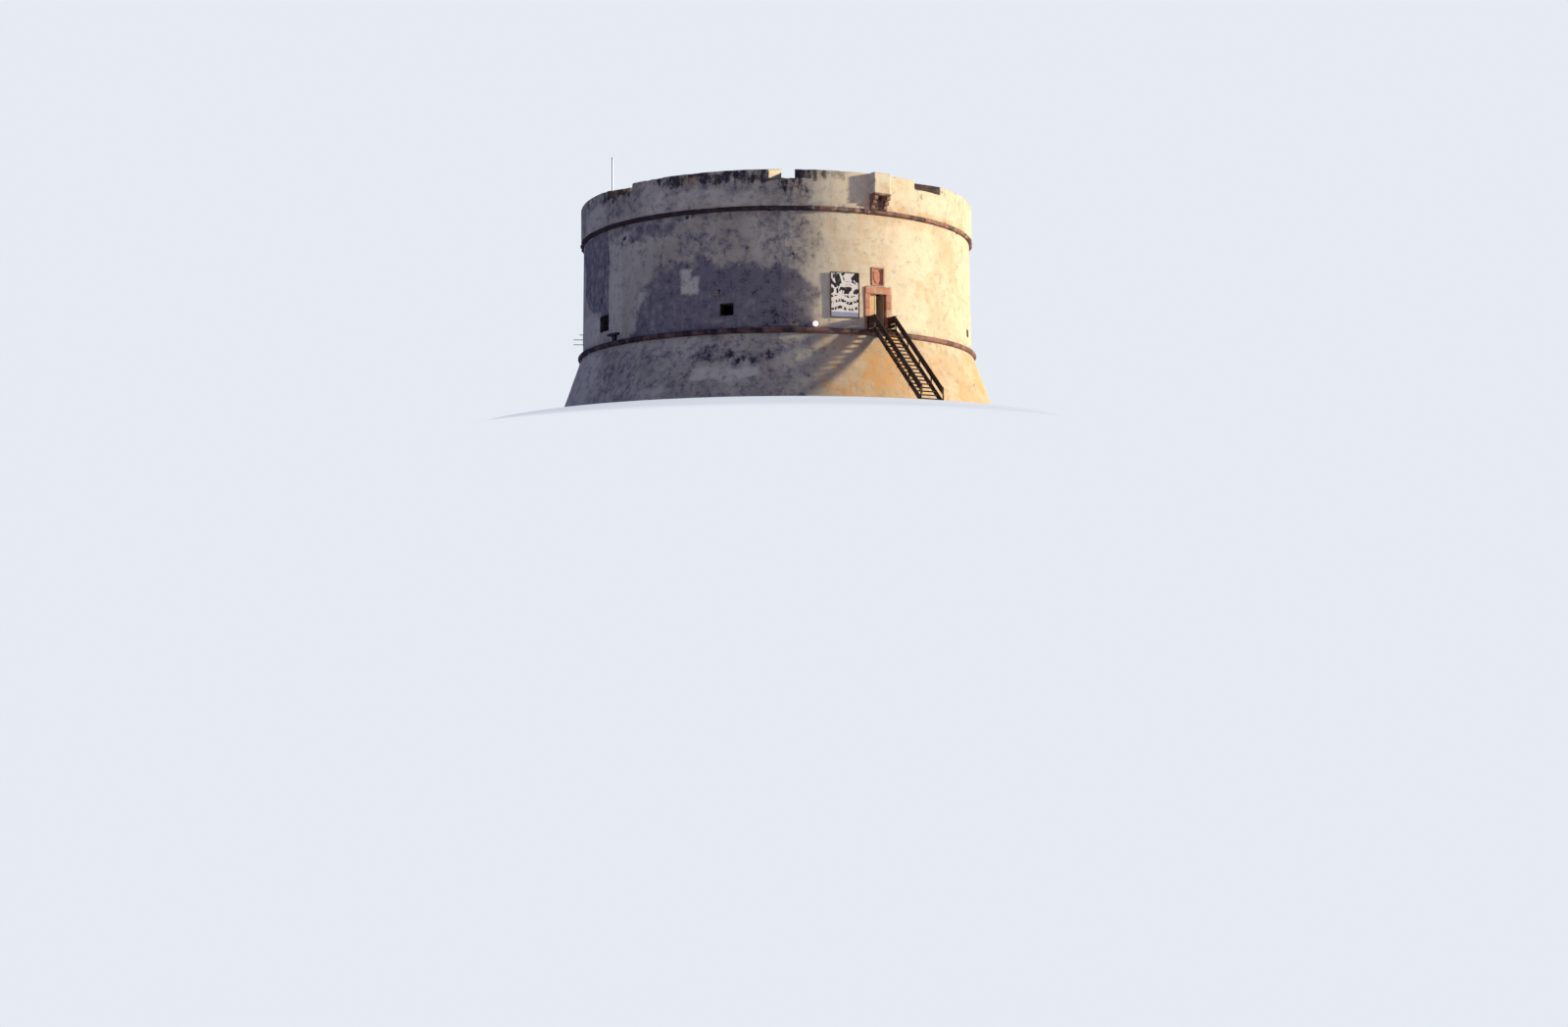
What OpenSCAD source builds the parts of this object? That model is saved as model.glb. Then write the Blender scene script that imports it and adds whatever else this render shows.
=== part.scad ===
// Round coastal watch tower on a battered base, with a domed room, a raised doorway,
// an outside timber stair and a gun terrace behind a parapet.
// Azimuth 0 faces -Y, where the doorway is, and azimuths grow towards +X. Lengths are
// in millimetres, +Z is up, and the origin is on the tower's axis at the ground.

/* [Masonry base and drum] */
// Outside radius of the drum at its foot
drum_r = 11250; // [10100:10:12600]
// How much narrower the drum's radius is under the upper cordon
drum_taper = 50; // [0:5:120]
// Height of the drum between the cordons
drum_h = 6360; // [6000:20:7000]
// Thickness of the drum's wall at its foot
wall_t = 3250; // [2900:10:3600]
// Height of the battered base
base_h = 4160; // [3900:20:4500]
// Width of the base's top outside the drum
base_lip = 130; // [60:5:250]
// How far the base spreads from its top down to the ground
base_batter = 1480; // [1200:10:2000]

/* [Cordons] */
// Height of the lower cordon, whose nose is half round
cordon_h = 280; // [240:10:320]
// How far the lower cordon's flat top runs past the base
cordon_lip = 40; // [20:5:80]
// Height of the upper cordon
top_cordon_h = 200; // [160:10:240]
// How far the upper cordon's flat top runs past the drum
top_cordon_lip = 130; // [100:5:160]
// Depth of the cordon stones into the wall
cordon_bed = 500; // [350:10:650]

/* [Vault and terrace] */
// Height of the room's wall up to the springing of the vault
spring_h = 2210; // [2000:10:2500]
// Width of the ledge that carries the vault
vault_seat = 600; // [400:20:800]
// Thickness of the vault at its crown
vault_crown_t = 550; // [450:10:700]
// Thickness of the fill between the drum's top and the terrace paving
fill_h = 850; // [700:10:950]
// Thickness of the terrace paving
paving_t = 100; // [60:5:140]
// Thickness of the room's floor slab
floor_t = 100; // [80:5:150]

/* [Parapet] */
// How far the parapet's face stands out past the drum's top
parapet_lip = 170; // [140:5:200]
// Thickness of the parapet
parapet_t = 1470; // [1300:10:1600]
// Height of the parapet's outer edge above the upper cordon
parapet_h = 1970; // [1800:10:2200]
// How much higher the parapet's top stands at its inner face, so that it sheds water outwards
parapet_rise = 340; // [200:10:420]
// Depth of an embrasure below the parapet's outer edge
embrasure_h = 470; // [350:10:600]
// Width of an embrasure at its mouth, on the outside
embrasure_mouth_w = 2310; // [1900:10:2500]
// Width of an embrasure at its throat, on the inside
embrasure_throat_w = 700; // [500:10:900]
// Azimuth of the middle of each embrasure
embrasure_az = [-78.5, -25.1, 18.6, 65, 115, 170, 226];

/* [Windows] */
// Width of a loop window's mouth
loop_w = 760; // [660:10:900]
// Height of a loop window
loop_h = 620; // [540:10:760]
// Height of the window sills above the lower cordon
loop_sill = 750; // [500:10:1000]
// Width of the wide gun window on the left
gun_w = 1000; // [850:10:1200]
// Height of the wide gun window
gun_h = 850; // [700:10:1000]
// Width of the narrow slit on the right
slit_w = 580; // [450:10:640]
// Height of the narrow slit
slit_h = 370; // [300:10:460]
// Length of the straight part of each window before it splays
loop_straight = 900; // [600:10:1200]
// How much wider a window is at the room's wall
loop_splay = 900; // [500:10:1200]
// Least width of a window's cheek at the room's wall
cheek_min_w = 60; // [40:5:120]
// Azimuths of the gun window, the loop windows and the slit
gun_az = -87.5;
loop_az = [-42.8, 90, 135, 225];
slit_az = 45.6;
// Azimuths of the wall's joints on the two sides of the doorway
door_joint_az = [-21, 21];

/* [Doorway] */
// Azimuth of the doorway
door_az = 0; // [-1:0.5:2]
// Clear width of the door frame
door_w = 1000; // [900:10:1060]
// Clear height of the door frame
door_h = 1960; // [1850:10:2050]
// Width of a jamb stone
jamb_w = 320; // [250:10:400]
// Height of the lintel
lintel_h = 370; // [300:10:450]
// Depth of the frame stones
frame_t = 200; // [160:5:260]
// Distance that the frame stands proud of the drum's foot
frame_proud = 40; // [30:5:60]
// Width of the passage behind the frame
passage_w = 1150; // [1120:10:1300]
// Height of the springing of the passage arch above the floor
passage_spring_h = 1760; // [1600:10:1900]
// Radius of the passage's segmental arch
passage_arch_r = 720; // [660:10:900]
// Thickness of the door sill over the cordon
sill_t = 50; // [40:5:80]

/* [Door leaves] */
// Thickness of a leaf
leaf_t = 50; // [40:5:60]
// Thickness of the raised rails and stiles on a leaf's front
leaf_raise = 12; // [6:1:16]
// Width of the rails and stiles
leaf_stile_w = 90; // [60:5:120]
// Height that a leaf laps up behind the lintel
leaf_lap = 50; // [30:5:80]
// Gap between a leaf and the frame's back
leaf_gap = 8; // [7:1:12]
// Gap between a leaf and the floor
leaf_floor_gap = 10; // [6:1:20]
// Gap from a closed leaf's edge to the middle of the doorway
leaf_meet_gap = 6; // [5:1:10]
// Gap between a closed leaf's edge and the passage wall
leaf_side_gap = 12; // [10:1:20]
// Distance from a leaf's inner face to its hinge axis
pin_offset = 20; // [20:1:26]
// Distance from a leaf's edge to its hinge axis
pin_inset = 15; // [10:1:30]
// Radius of a hinge pin
pin_r = 9; // [7:1:10]
// Height of a hinge pin
pin_h = 60; // [40:5:90]
// Thickness of the arm that carries a hinge pin
pin_arm_t = 20; // [14:1:30]
// Running clearance round a hinge pin and over its arm
pin_fit = 0.3; // [0.2:0.1:0.5]
// Radius of a strap's knuckle
knuckle_r = 18; // [15:1:19]
// Thickness of a strap hinge
strap_t = 8; // [6:1:10]
// Length of a strap hinge
strap_l = 400; // [250:10:450]
// Heights of the two hinges above the floor
hinge_heights = [350, 1600];
// Angle at which the right leaf stands open
right_leaf_open = 82; // [0:1:85]

/* [Plaque and poster panel] */
// Width of the carved plaque over the door
plaque_w = 780; // [600:10:900]
// Height of the plaque
plaque_h = 1000; // [800:10:1100]
// Thickness of the plaque
plaque_t = 120; // [80:5:160]
// Width of the blank shield on the plaque
shield_w = 430; // [300:10:500]
// Height of the shield
shield_h = 600; // [400:10:660]
// Height of the plaque above the lintel
plaque_rise = 80; // [40:10:160]
// Azimuth of the poster panel
panel_az = -10.1; // [-12:0.1:-9.5]
// Width of the poster panel
panel_w = 1650; // [1200:10:1800]
// Height of the poster panel
panel_h = 2450; // [2000:10:2600]
// Height of the poster panel above the lower cordon
panel_rise = 610; // [400:10:900]
// Thickness of the poster panel
panel_t = 18; // [12:1:30]
// Thickness of the battens behind the poster panel, at the middle
batten_t = 40; // [30:5:60]
// Width of a batten
batten_w = 90; // [60:5:120]

/* [Machicolation] */
// Width of the machicolation box over the door
box_w = 1030; // [950:10:1150]
// Height of the box
box_h = 1140; // [1000:10:1300]
// Reach of the box beyond the parapet
box_reach = 500; // [400:10:600]
// Thickness of the box's front and cheeks
box_wall = 210; // [180:10:220]
// Width of the gap between the corbels
slot_w = 550; // [480:10:580]
// Height of the lintel stone under the box's front
box_lintel_h = 100; // [80:5:140]
// Depth of the corbels and cheeks into the parapet
corbel_bed = 350; // [250:10:450]
// Number of courses in a corbel
corbel_courses = 3; // [2:1:4]

/* [Stair] */
// Number of risers from the ground to the sill
stair_rises = 20; // [18:1:22]
// Going of one step
going = 232; // [220:2:260]
// Width over the stringers
stair_w = 1300; // [1200:10:1400]
// Length of the landing in front of the door frame
landing_l = 710; // [600:10:900]
// Thickness of a stringer
stringer_t = 60; // [50:5:80]
// Height of a stringer, measured upright
stringer_h = 345; // [330:5:400]
// Height of a stringer over the line of the nosings
stringer_over = 45; // [30:5:60]
// Height of the level part of the stringers under the landing
bearer_h = 200; // [150:10:250]
// Thickness of a tread
tread_t = 45; // [35:5:50]
// Distance that a tread runs back under the next one
tread_lap = 13; // [5:1:20]
// Depth of the housing that holds a tread's end
housing = 20; // [10:1:30]
// Width of a rail post, both ways
post_w = 60; // [50:5:80]
// Number of posts along each side of the flight
flight_posts = 4; // [3:1:5]
// Height of the handrail's top over the line of the nosings
rail_over = 720; // [650:10:950]
// Height of each guard plank, measured upright
rail_h = 195; // [150:5:215]
// Number of guard planks, one over the other
rail_planks = 2; // [1:1:2]
// Gap between two guard planks
rail_gap = 10; // [5:1:20]
// Height over the deck of the lowest plank at the landing
kick_rise = 90; // [60:5:120]
// Gap between that plank and the guard above it
kick_gap = 35; // [20:5:60]
// Gap between the stringers' upper ends and the cordon's nose
cordon_gap = 6; // [5:1:20]

/* [Fittings] */
// Azimuth of the round wall lamp
lamp_az = -18.5; // [-20:0.1:-17.5]
// Radius of the wall lamp
lamp_r = 165; // [120:5:200]
// Depth of the wall lamp's body
lamp_t = 70; // [50:5:90]
// Height of the lamp's glass
lamp_glass_h = 60; // [40:5:70]
// Gap between the cordon and the lamp
lamp_lift = 60; // [45:5:100]
// Azimuth of the junction box
jbox_az = -25.3; // [-26:0.1:-24]
// Width of the junction box
jbox_w = 330; // [250:10:400]
// Height of the junction box
jbox_h = 120; // [90:10:160]
// Depth of the junction box
jbox_d = 110; // [90:10:150]
// Width of the trunking from the junction box to the lamp
trunk_w = 26; // [20:1:35]
// Azimuth of the floodlight
flood_az = -81.2; // [-82:0.1:-77]
// Width of the floodlight's trough
flood_w = 860; // [700:10:1000]
// Depth of the trough
flood_d = 260; // [200:10:320]
// Height of the trough
flood_h = 120; // [90:5:160]
// Height of the trough's foot above the cordon
flood_rise = 310; // [250:10:400]
// Width of the floodlight's stand
flood_stand_w = 300; // [250:10:450]
// Azimuth of the iron line bracket
bracket_az = -115; // [-119:0.5:-109]
// Height of the lowest arm of the line bracket above the lower cordon
bracket_rise = 760; // [600:10:900]
// Width of the line bracket's bar
bracket_bar_w = 60; // [45:5:80]
// Distance between the arms of the line bracket
arm_step = 285; // [240:5:320]
// Radius of an arm
arm_r = 20; // [15:1:22]
// Reach of the line bracket's long arms
arm_reach = 560; // [450:10:650]
// Reach of the line bracket's short arm
short_arm_reach = 220; // [150:10:300]
// Azimuth of the flagpole
pole_az = -104.6; // [-109:0.1:-99]
// Distance of the flagpole from the parapet's inner face
pole_inset = 200; // [140:10:400]
// Radius of the flagpole
pole_r = 45; // [35:1:60]
// Height of the flagpole above the paving
pole_h = 4000; // [3500:50:4500]
// Radius of the ball on the flagpole
pole_ball_r = 65; // [50:5:90]

/* [Hidden] */
$fn = 96;
ring_fn = 360;
eps = 1;
fit = 0.3;
ring_fit = 0.8;
ring_fit_az = 0.001;
bay_step = 1.40625;
cut = 3000;
over_face = 200;

drum_top_r = drum_r - drum_taper;
room_r = drum_r - wall_t;
base_top_r = drum_r + base_lip;
base_foot_r = base_top_r + base_batter;
cordon_flat_r = base_top_r + cordon_lip;
top_cordon_flat_r = drum_top_r + top_cordon_lip;
parapet_r = drum_top_r + parapet_lip;

cordon_top = base_h + cordon_h;
floor_z = cordon_top + sill_t;
drum_top = cordon_top + drum_h;
spring_z = floor_z + spring_h;
parapet_z = drum_top + top_cordon_h;
parapet_top = parapet_z + parapet_h;
sill_z = parapet_top - embrasure_h;
parapet_in_r = parapet_r - parapet_t;
inner_top = parapet_top + parapet_rise;
terrace_z = drum_top + fill_h + paving_t;
cordon_in_r = drum_r - cordon_bed;
top_cordon_in_r = drum_top_r - cordon_bed;
cordon_nose_r = cordon_flat_r + cordon_h / 2;
vault_crown_z = drum_top - vault_crown_t;
vault_rise = vault_crown_z - spring_z;
vault_r = (room_r * room_r + vault_rise * vault_rise) / (2 * vault_rise);

frame_front = drum_r + frame_proud;
frame_back = frame_front - frame_t;
leaf_front = frame_back - leaf_gap;
leaf_back = leaf_front - leaf_t;
leaf_edge = passage_w / 2 - leaf_side_gap;
leaf_w = leaf_edge - leaf_meet_gap;
leaf_z = floor_z + leaf_floor_gap;
leaf_h = door_h + leaf_lap - leaf_floor_gap;
pin_x = leaf_back - pin_offset;
pin_y = leaf_edge - pin_inset;
rebate_back = pin_x - leaf_w - 3 * leaf_side_gap;
rebate_h = door_h + leaf_lap + 2 * leaf_side_gap;

box_top = parapet_top;
box_z = box_top - box_h;
box_front = parapet_r + box_reach;
corbel_z = parapet_z;
corbel_h = (box_z - box_lintel_h - corbel_z) / corbel_courses;
corbel_w = (box_w - slot_w) / 2;

rise = floor_z / stair_rises;
landing_edge = frame_front + landing_l;
slope = rise / going;
rail_end = landing_edge + (stair_rises - 0.5) * going;
wall_post_x = frame_front + 2 * cordon_gap;

merlons = len(embrasure_az);
windows = [
    [gun_az, gun_w, gun_h], [loop_az[0], loop_w, loop_h], [slit_az, slit_w, slit_h],
    [loop_az[1], loop_w, loop_h], [loop_az[2], loop_w, loop_h], [loop_az[3], loop_w, loop_h]
];

// Turns a piece drawn with +X outwards to face the given azimuth.
module at_az(az) {
    rotate([0, 0, az - 90]) children();
}

// A box from its two opposite corners.
module block(a, b) {
    translate(a) cube(b - a);
}

// A box centred on Y, from x0 to x1 and from z0 to z1.
module centred_block(x0, x1, w, z0, z1) {
    block([x0, -w / 2, z0], [x1, w / 2, z1]);
}

// A turned ring between two azimuths, just short of its neighbours, with its section as the child.
module ring(from_az, to_az) {
    rotate([0, 0, from_az + ring_fit_az - 90])
        rotate_extrude(angle = to_az - from_az - 2 * ring_fit_az, $fn = ring_fn) children();
}

// Distance from the axis of a flat back that stands against the drum from the height z upwards.
function back_x(z) = drum_r - (drum_r - drum_top_r) * (z - cordon_top) / drum_h + fit;

module cordon_section(inner_r, flat_r, h) {
    translate([inner_r, 0]) square([flat_r - inner_r, h]);
    translate([flat_r, h / 2]) circle(r = h / 2, $fn = 32);
}

// The battered base is one mass of masonry, stepped at the top for the cordon and the floor.
module scarp_base() {
    color("#b9a68c") rotate_extrude() polygon([
        [0, 0], [base_foot_r, 0], [base_top_r, base_h],
        [cordon_in_r - ring_fit, base_h], [cordon_in_r - ring_fit, cordon_top],
        [room_r, cordon_top], [room_r, floor_z - floor_t], [0, floor_z - floor_t]
    ]);
}

module lower_cordon() {
    color("#8d5a4a") translate([0, 0, base_h + fit])
        rotate_extrude() cordon_section(cordon_in_r, cordon_flat_r, cordon_h - fit);
}

module upper_cordon() {
    color("#8d5a4a") translate([0, 0, drum_top + fit])
        rotate_extrude() cordon_section(top_cordon_in_r, top_cordon_flat_r, top_cordon_h - fit);
}

// Section of the drum wall between two heights: thinner above the ledge that carries the vault.
module wall_section(low, high) {
    intersection() {
        polygon([
            [room_r, cordon_top], [drum_r, cordon_top], [drum_top_r, drum_top],
            [room_r + vault_seat, drum_top], [room_r + vault_seat, spring_z], [room_r, spring_z]
        ]);
        translate([0, low]) square([base_foot_r, high - low]);
    }
}

module drum_section() {
    wall_section(cordon_top + fit, drum_top);
}

// Half the azimuth of the bay of wall that holds a window.
function bay_half(window) =
    bay_step * ceil(asin(((window[1] + loop_splay) / 2 + cheek_min_w) / room_r) / bay_step);

function bay_start(window) = window[0] - bay_half(window);

function bay_end(window) = window[0] + bay_half(window);

// A band of a window's bay between two heights.
module bay(window, low, high) {
    ring(bay_start(window), bay_end(window)) wall_section(low, high);
}

// The bays of the windows: the masonry under and over each window, and the two cheeks
// beside it, straight at first and then splayed to the room.
module window_bays() {
    straight_x = drum_r - loop_straight;
    sill = cordon_top + loop_sill;
    color("#d8c8a6") for (window = windows) {
        mouth = window[1] / 2;
        splay = mouth + loop_splay / 2;
        head = sill + window[2];
        bay(window, cordon_top + fit, sill);
        bay(window, head, drum_top);
        difference() {
            bay(window, sill + fit, head - fit);
            at_az(window[0]) linear_extrude(drum_top) polygon([
                [drum_r + cut, -mouth], [drum_r + cut, mouth], [straight_x, mouth], [room_r, splay],
                [room_r - cut, splay], [room_r - cut, -splay], [room_r, -splay], [straight_x, -mouth]
            ]);
        }
    }
}

// Everything that the doorway takes out of the wall, up to the given height.
module doorway_cut(top) {
    at_az(door_az) centred_block(room_r - cut, drum_r + cut, passage_w, cordon_top - eps, top);
}

// Sockets for the frame stones and the plaque.
module frame_sockets() {
    at_az(door_az) {
        centred_block(frame_back, drum_r + cut, door_w + 2 * jamb_w,
            cordon_top - eps, floor_z + door_h + lintel_h);
        centred_block(drum_r - plaque_t, drum_r + cut, plaque_w, plaque_z(), plaque_z() + plaque_h);
    }
}

function plaque_z() = floor_z + door_h + lintel_h + plaque_rise;

// Plain wall between two azimuths.
module wall_stretch(from_az, to_az) {
    color("#d8c8a6") ring(from_az, to_az) drum_section();
}

module wall_beside_door(from_az, to_az) {
    color("#d8c8a6") difference() {
        ring(from_az, to_az) drum_section();
        doorway_cut(drum_top + eps);
        frame_sockets();
    }
}

module wall_left() {
    wall_stretch(bay_end(windows[0]), bay_start(windows[1]));
}

module wall_front() {
    wall_stretch(bay_end(windows[1]), door_joint_az[0]);
}

module wall_door_left() {
    wall_beside_door(door_joint_az[0], door_az);
}

module wall_door_right() {
    wall_beside_door(door_az, door_joint_az[1]);
}

// Masonry over the passage, with the segmental arch and the recess for the open leaves below.
module wall_over_door() {
    arch_drop = sqrt(passage_arch_r * passage_arch_r - passage_w * passage_w / 4);
    color("#d8c8a6") difference() {
        intersection() {
            ring(door_joint_az[0], door_joint_az[1]) drum_section();
            at_az(door_az) centred_block(room_r - cut, drum_r + cut, passage_w - 2 * fit,
                floor_z + passage_spring_h, drum_top + eps);
        }
        at_az(door_az) {
            translate([room_r - cut, 0, floor_z + passage_spring_h - arch_drop])
                rotate([0, 90, 0]) cylinder(r = passage_arch_r, h = rebate_back - room_r + cut + eps);
            centred_block(rebate_back, drum_r + cut, passage_w + 2 * eps, 0, floor_z + rebate_h);
        }
        frame_sockets();
    }
}

// A box on one side of the doorway's middle plane, from the distance y0 outwards.
module centred_side(side, x0, x1, y0, w, z0, z1) {
    block([x0, side > 0 ? y0 : -y0 - w, z0], [x1, side > 0 ? y0 + w : -y0, z1]);
}

module wall_right() {
    wall_stretch(door_joint_az[1], bay_start(windows[2]));
}

module wall_side() {
    wall_stretch(bay_end(windows[2]), bay_start(windows[3]));
}

module wall_far_right() {
    wall_stretch(bay_end(windows[3]), bay_start(windows[4]));
}

module wall_back() {
    wall_stretch(bay_end(windows[4]), bay_start(windows[5]));
}

module wall_back_left() {
    wall_stretch(bay_end(windows[5]), bay_start(windows[0]) + 360);
}

module embrasure_cut(az) {
    widen = (embrasure_mouth_w - embrasure_throat_w) / 2 / parapet_t;
    out_x = parapet_r + over_face;
    out_y = embrasure_mouth_w / 2 + widen * over_face;
    in_y = embrasure_throat_w / 2;
    at_az(az) translate([0, 0, sill_z]) linear_extrude(cut) polygon([
        [parapet_in_r - cut, -in_y], [parapet_in_r, -in_y], [out_x, -out_y],
        [out_x, out_y], [parapet_in_r, in_y], [parapet_in_r - cut, in_y]
    ]);
}

// Sockets of the machicolation: beds for the corbels and cheeks, and the gap behind its slot.
module machicolation_sockets() {
    bed_x = parapet_r - corbel_bed;
    at_az(door_az) {
        for (side = [-1, 1]) {
            centred_side(side, bed_x, parapet_r + cut, slot_w / 2, corbel_w, corbel_z - eps, box_z);
            centred_side(side, bed_x, parapet_r + cut, box_w / 2 - box_wall, box_wall, box_z, inner_top + eps);
        }
        centred_block(parapet_in_r - cut, parapet_r + cut, box_w - 2 * box_wall, terrace_z, inner_top + eps);
    }
}

// Section of the parapet, whose top slopes down to the outside.
module parapet_section() {
    polygon([
        [parapet_in_r, parapet_z + fit], [parapet_r, parapet_z + fit],
        [parapet_r, parapet_top], [parapet_in_r, inner_top]
    ]);
}

// Each stretch of parapet runs from the middle of an embrasure to the middle of the next.
module parapet() {
    color("#cbb896") for (i = [0:merlons - 1]) {
        from_az = embrasure_az[i];
        to_az = i < merlons - 1 ? embrasure_az[i + 1] : embrasure_az[0] + 360;
        difference() {
            ring(from_az, to_az) parapet_section();
            embrasure_cut(from_az);
            embrasure_cut(to_az);
            machicolation_sockets();
        }
    }
}

// Rubble fill on the drum's top and the vault, inside the parapet.
module terrace_fill() {
    color("#a89878") rotate_extrude() polygon([
        [0, drum_top + fit], [top_cordon_in_r - ring_fit, drum_top + fit],
        [top_cordon_in_r - ring_fit, parapet_z], [parapet_in_r - ring_fit, parapet_z],
        [parapet_in_r - ring_fit, drum_top + fill_h], [0, drum_top + fill_h]
    ]);
}

module terrace_paving() {
    color("#b3a083") translate([0, 0, drum_top + fill_h + fit])
        cylinder(r = parapet_in_r - ring_fit, h = paving_t - fit);
}

// Shallow dome of masonry with a level top, seated on the drum's inner ledge.
module room_vault() {
    seat_r = room_r + vault_seat - ring_fit;
    color("#cdbfa4") difference() {
        translate([0, 0, spring_z + fit]) cylinder(r = seat_r, h = drum_top - spring_z - fit);
        translate([0, 0, vault_crown_z - vault_r]) sphere(r = vault_r);
    }
}

// Paved floor of the room, with a tongue that runs out through the passage.
module room_floor() {
    color("#9c8f7c") {
        translate([0, 0, floor_z - floor_t + fit]) cylinder(r = room_r - ring_fit, h = floor_t - fit);
        at_az(door_az)
            centred_block(room_r / 2, frame_back, passage_w - 2 * fit, floor_z - sill_t + fit, floor_z);
    }
}

module door_sill() {
    color("#8f5c4c") at_az(door_az)
        centred_block(frame_back, frame_front + frame_proud / 2, door_w, cordon_top, floor_z);
}

// Two jambs of squared blocks, which stand on the cordon stones.
module door_jambs() {
    color("#9a6553") at_az(door_az) for (side = [-1, 1])
        centred_side(side, frame_back, frame_front, door_w / 2, jamb_w, cordon_top, floor_z + door_h);
}

module door_lintel() {
    color("#9a6553") at_az(door_az)
        centred_block(frame_back, frame_front, door_w + 2 * jamb_w,
            floor_z + door_h, floor_z + door_h + lintel_h);
}

// Outline of a plain shield: a square top and two arcs that meet in a point.
module shield_outline(w, h) {
    intersection() {
        translate([-w / 2, -h / 2]) square([w, h]);
        union() {
            translate([-w / 2, 0]) square([w, h / 2]);
            intersection() {
                translate([-w / 2, 0]) circle(r = w);
                translate([w / 2, 0]) circle(r = w);
            }
        }
    }
}

// Plaque with a raised border and a blank shield.
module stone_plaque() {
    border = plaque_w / 12;
    field = plaque_t / 3;
    color("#8f5c4c") at_az(door_az) translate([drum_r - plaque_t, 0, plaque_z() + plaque_h / 2])
        rotate([90, 0, 90]) {
            linear_extrude(plaque_t + frame_proud) difference() {
                translate([-plaque_w / 2, -plaque_h / 2]) square([plaque_w, plaque_h]);
                translate([border - plaque_w / 2, border - plaque_h / 2])
                    square([plaque_w - 2 * border, plaque_h - 2 * border]);
            }
            linear_extrude(plaque_t - field)
                translate([-plaque_w / 2, -plaque_h / 2]) square([plaque_w, plaque_h]);
            linear_extrude(plaque_t + field) shield_outline(shield_w, shield_h);
        }
}

// A leaf as it stands when closed: a board with raised stiles and rails on its front.
module closed_leaf() {
    board_t = leaf_t - leaf_raise;
    rails = 3;
    rail_step = (leaf_h - leaf_stile_w) / (rails - 1);
    block([leaf_back, leaf_meet_gap, leaf_z], [leaf_back + board_t, leaf_edge, leaf_z + leaf_h]);
    for (y = [leaf_meet_gap, leaf_edge - leaf_stile_w])
        block([leaf_back, y, leaf_z], [leaf_front, y + leaf_stile_w, leaf_z + leaf_h]);
    for (i = [0:rails - 1])
        block([leaf_back, leaf_meet_gap, leaf_z + i * rail_step],
            [leaf_front, leaf_edge, leaf_z + i * rail_step + leaf_stile_w]);
}

// The two straps of a closed leaf, each with its knuckle round the hinge axis.
module closed_straps() {
    for (h = hinge_heights) translate([0, 0, floor_z + h + pin_fit]) difference() {
        union() {
            translate([pin_x, pin_y, 0]) cylinder(r = knuckle_r, h = pin_h - 2 * pin_fit);
            block([leaf_back - strap_t, pin_y - strap_l, 0], [leaf_back, pin_y, pin_h - 2 * pin_fit]);
            block([pin_x, pin_y - knuckle_r, 0], [leaf_back - strap_t, pin_y, pin_h - 2 * pin_fit]);
        }
        translate([pin_x, pin_y, -eps]) cylinder(r = pin_r + pin_fit, h = pin_h + 2 * eps);
    }
}

// Puts a right-hand piece in the doorway, swung open by an angle, and mirrored for the left.
module hung(side, angle) {
    at_az(door_az) mirror([0, side < 0 ? 1 : 0, 0])
        translate([pin_x, pin_y, 0]) rotate([0, 0, -angle]) translate([-pin_x, -pin_y, 0]) children();
}

module door_leaf_left() {
    color("#d9c48f") hung(-1, 0) closed_leaf();
}

module door_leaf_right() {
    color("#d9c48f") hung(1, right_leaf_open) closed_leaf();
}

module door_straps_left() {
    color("#3a3532") hung(-1, 0) closed_straps();
}

module door_straps_right() {
    color("#3a3532") hung(1, right_leaf_open) closed_straps();
}

// Pins on arms that stand out of the passage walls.
module door_pins() {
    color("#3a3532") for (side = [-1, 1]) hung(side, 0) for (h = hinge_heights)
        translate([0, 0, floor_z + h]) {
            translate([pin_x, pin_y, -eps]) cylinder(r = pin_r, h = pin_h + eps);
            block([pin_x - pin_r, pin_y - pin_r, -pin_arm_t], [pin_x + pin_r, passage_w / 2, 0]);
        }
}

module machicolation_front() {
    color("#e2d2ac") at_az(door_az)
        centred_block(box_front - box_wall, box_front, box_w, box_z, box_top);
}

// Side outline of a cheek: level outside, and sloped like the parapet's top in its bed.
module cheek_outline() {
    bed_x = parapet_r - corbel_bed;
    polygon([
        [bed_x, box_z], [box_front - box_wall, box_z], [box_front - box_wall, box_top],
        [parapet_r, box_top], [bed_x, box_top + parapet_rise * corbel_bed / parapet_t]
    ]);
}

module machicolation_cheeks() {
    color("#e2d2ac") at_az(door_az) for (y = [box_w / 2, box_wall - box_w / 2])
        translate([0, y, 0]) rotate([90, 0, 0]) linear_extrude(box_wall) cheek_outline();
}

module machicolation_lintel() {
    color("#8f5c4c") at_az(door_az)
        centred_block(box_front - box_wall, box_front + frame_proud / 2, box_w + frame_proud,
            box_z - box_lintel_h, box_z);
}

// Side outline of a corbel: courses that step out, each with a round nose, and a block
// behind the lintel.
module corbel_outline() {
    step = box_reach / corbel_courses;
    nose = corbel_h / 2;
    full_h = corbel_courses * corbel_h;
    for (i = [1:corbel_courses]) {
        translate([0, (i - 1) * corbel_h])
            square([corbel_bed + i * step - nose, full_h - (i - 1) * corbel_h]);
        translate([corbel_bed + i * step - nose, (i - 0.5) * corbel_h]) circle(r = nose, $fn = 32);
    }
    translate([0, full_h - nose]) square([corbel_bed + box_reach - box_wall, box_lintel_h + nose]);
}

module machicolation_corbels() {
    color("#8f5c4c") at_az(door_az) for (y = [slot_w / 2 + corbel_w, -slot_w / 2])
        translate([parapet_r - corbel_bed, y, corbel_z])
            rotate([90, 0, 0]) linear_extrude(corbel_w) corbel_outline();
}

// Height of the line of the nosings at a distance from the axis.
function nosing(x) = floor_z - (x - landing_edge) * slope;

// Distance from the axis at which a line at this height over the nosings meets the ground.
function ground_x(over) = landing_edge + (floor_z + over) / slope;

module tread(i, half_w) {
    x = landing_edge + (stair_rises - 1 - i) * going;
    block([x - tread_lap, -half_w, i * rise - tread_t], [x + going, half_w, i * rise]);
}

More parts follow.
